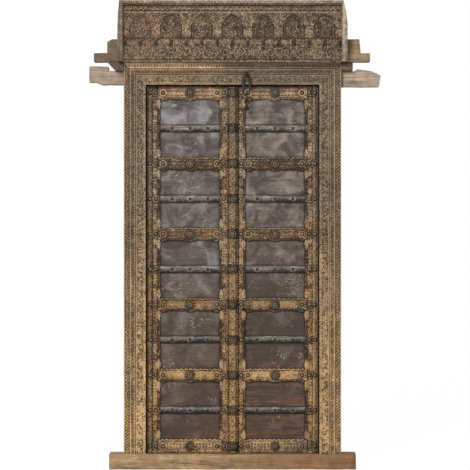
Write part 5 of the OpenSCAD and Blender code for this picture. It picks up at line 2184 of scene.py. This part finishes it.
@dataclass
class Studio:
    """Pale floor, soft light and the camera."""

    pixels: int = 470
    mm_per_pixel: float = 4.6
    middle: tuple[float, float] = (11.5, 1078.0)
    away: float = 12.0
    sensor: float = 36.0
    sky: float = 0.38
    key_power: float = 278.0
    key_size: float = 1.8
    key_place: Point = (-1.6, -5.6, 3.6)
    key_aim: Point = (0.0, 0.0, 1.1)
    floor_tone: tuple[float, ...] = (0.82, 0.82, 0.82, 1.0)
    floor_glow: float = 0.95
    floor_shade: float = 0.14
    floor_half: float = 9.0

    def seen(self, graph: Graph) -> Socket:
        """1 for the rays that show the background itself."""
        path = graph.add("ShaderNodeLightPath")
        direct = graph.maths("ADD", path.outputs["Is Camera Ray"], path.outputs["Is Glossy Ray"], clamp=True)
        return graph.maths("ADD", direct, path.outputs["Is Transmission Ray"], clamp=True)

    def world(self) -> None:
        """White background with a softer light of its own."""
        world = bpy.data.worlds.new("studio")
        bpy.context.scene.world = world
        world.use_nodes = True
        graph = Graph(world.node_tree)
        background = world.node_tree.nodes["Background"]
        background.inputs["Color"].default_value = (1, 1, 1, 1)
        strength = graph.add("ShaderNodeMapRange")
        graph.feed(strength.inputs[0], self.seen(graph))
        strength.inputs[3].default_value = self.sky
        graph.feed(background.inputs["Strength"], strength.outputs[0])

    def floor(self) -> None:
        """Pale floor that shows white and keeps the object's shadow."""
        build = bmesh.new()
        bmesh.ops.create_grid(build, x_segments=4, y_segments=4, size=self.floor_half)
        bmesh.ops.translate(build, verts=build.verts, vec=(0, 0, -1 * MM))
        mesh = as_mesh(build, "floor")
        material = bpy.data.materials.new("floor")
        material.use_nodes = True
        graph = Graph(material.node_tree)
        material.node_tree.nodes.remove(material.node_tree.nodes["Principled BSDF"])
        matt = graph.add("ShaderNodeBsdfDiffuse")
        graph.feed(matt.inputs["Color"], self.floor_tone)
        white = graph.add("ShaderNodeEmission")
        graph.feed(white.inputs["Strength"], self.floor_glow / (1 - self.floor_shade))
        shown, mixed = graph.add("ShaderNodeMixShader"), graph.add("ShaderNodeMixShader")
        for node, values in ((shown, (self.floor_shade, white.outputs[0], matt.outputs[0])),
                             (mixed, (self.seen(graph), matt.outputs[0], shown.outputs[0]))):
            for socket, value in zip(node.inputs, values):
                graph.feed(socket, value)
        graph.feed(material.node_tree.nodes["Material Output"].inputs["Surface"], mixed.outputs[0])
        mesh.materials.append(material)
        floor = bpy.data.objects.new("floor", mesh)
        bpy.context.scene.collection.objects.link(floor)

    def lamp(self) -> None:
        """Square soft lamp turned to the middle of the door."""
        data = bpy.data.lights.new("key", "AREA")
        data.size = self.key_size
        data.energy = self.key_power
        lamp = bpy.data.objects.new("key", data)
        lamp.location = self.key_place
        lamp.rotation_euler = (Vector(self.key_aim) - lamp.location).to_track_quat("-Z", "Y").to_euler()
        bpy.context.scene.collection.objects.link(lamp)

    def camera(self) -> None:
        """Camera straight in front, framed as the photograph."""
        data = bpy.data.cameras.new("camera")
        data.sensor_width = self.sensor
        data.lens = self.sensor * self.away / (self.pixels * self.mm_per_pixel * MM)
        camera = bpy.data.objects.new("camera", data)
        camera.location = (self.middle[0] * MM, -self.away, self.middle[1] * MM)
        camera.rotation_euler = (math.pi / 2, 0, 0)
        data.clip_end = 100
        bpy.context.scene.collection.objects.link(camera)
        bpy.context.scene.camera = camera

    def build(self) -> None:
        """Set up the studio."""
        bpy.context.scene.view_settings.view_transform = "Standard"
        self.world()
        self.floor()
        self.lamp()
        self.camera()


def main() -> None:
    """Build the door's pieces in order."""
    logging.basicConfig(level=logging.INFO, format="%(message)s")
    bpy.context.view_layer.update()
    Studio().build()
    DoorFrame().build()
    Cornice().build()
    for side in Side:
        Leaf(side).build()
        Studding(side).build()
    Astragal().build()
    Chain().build()


if __name__ == "__main__":
    main()
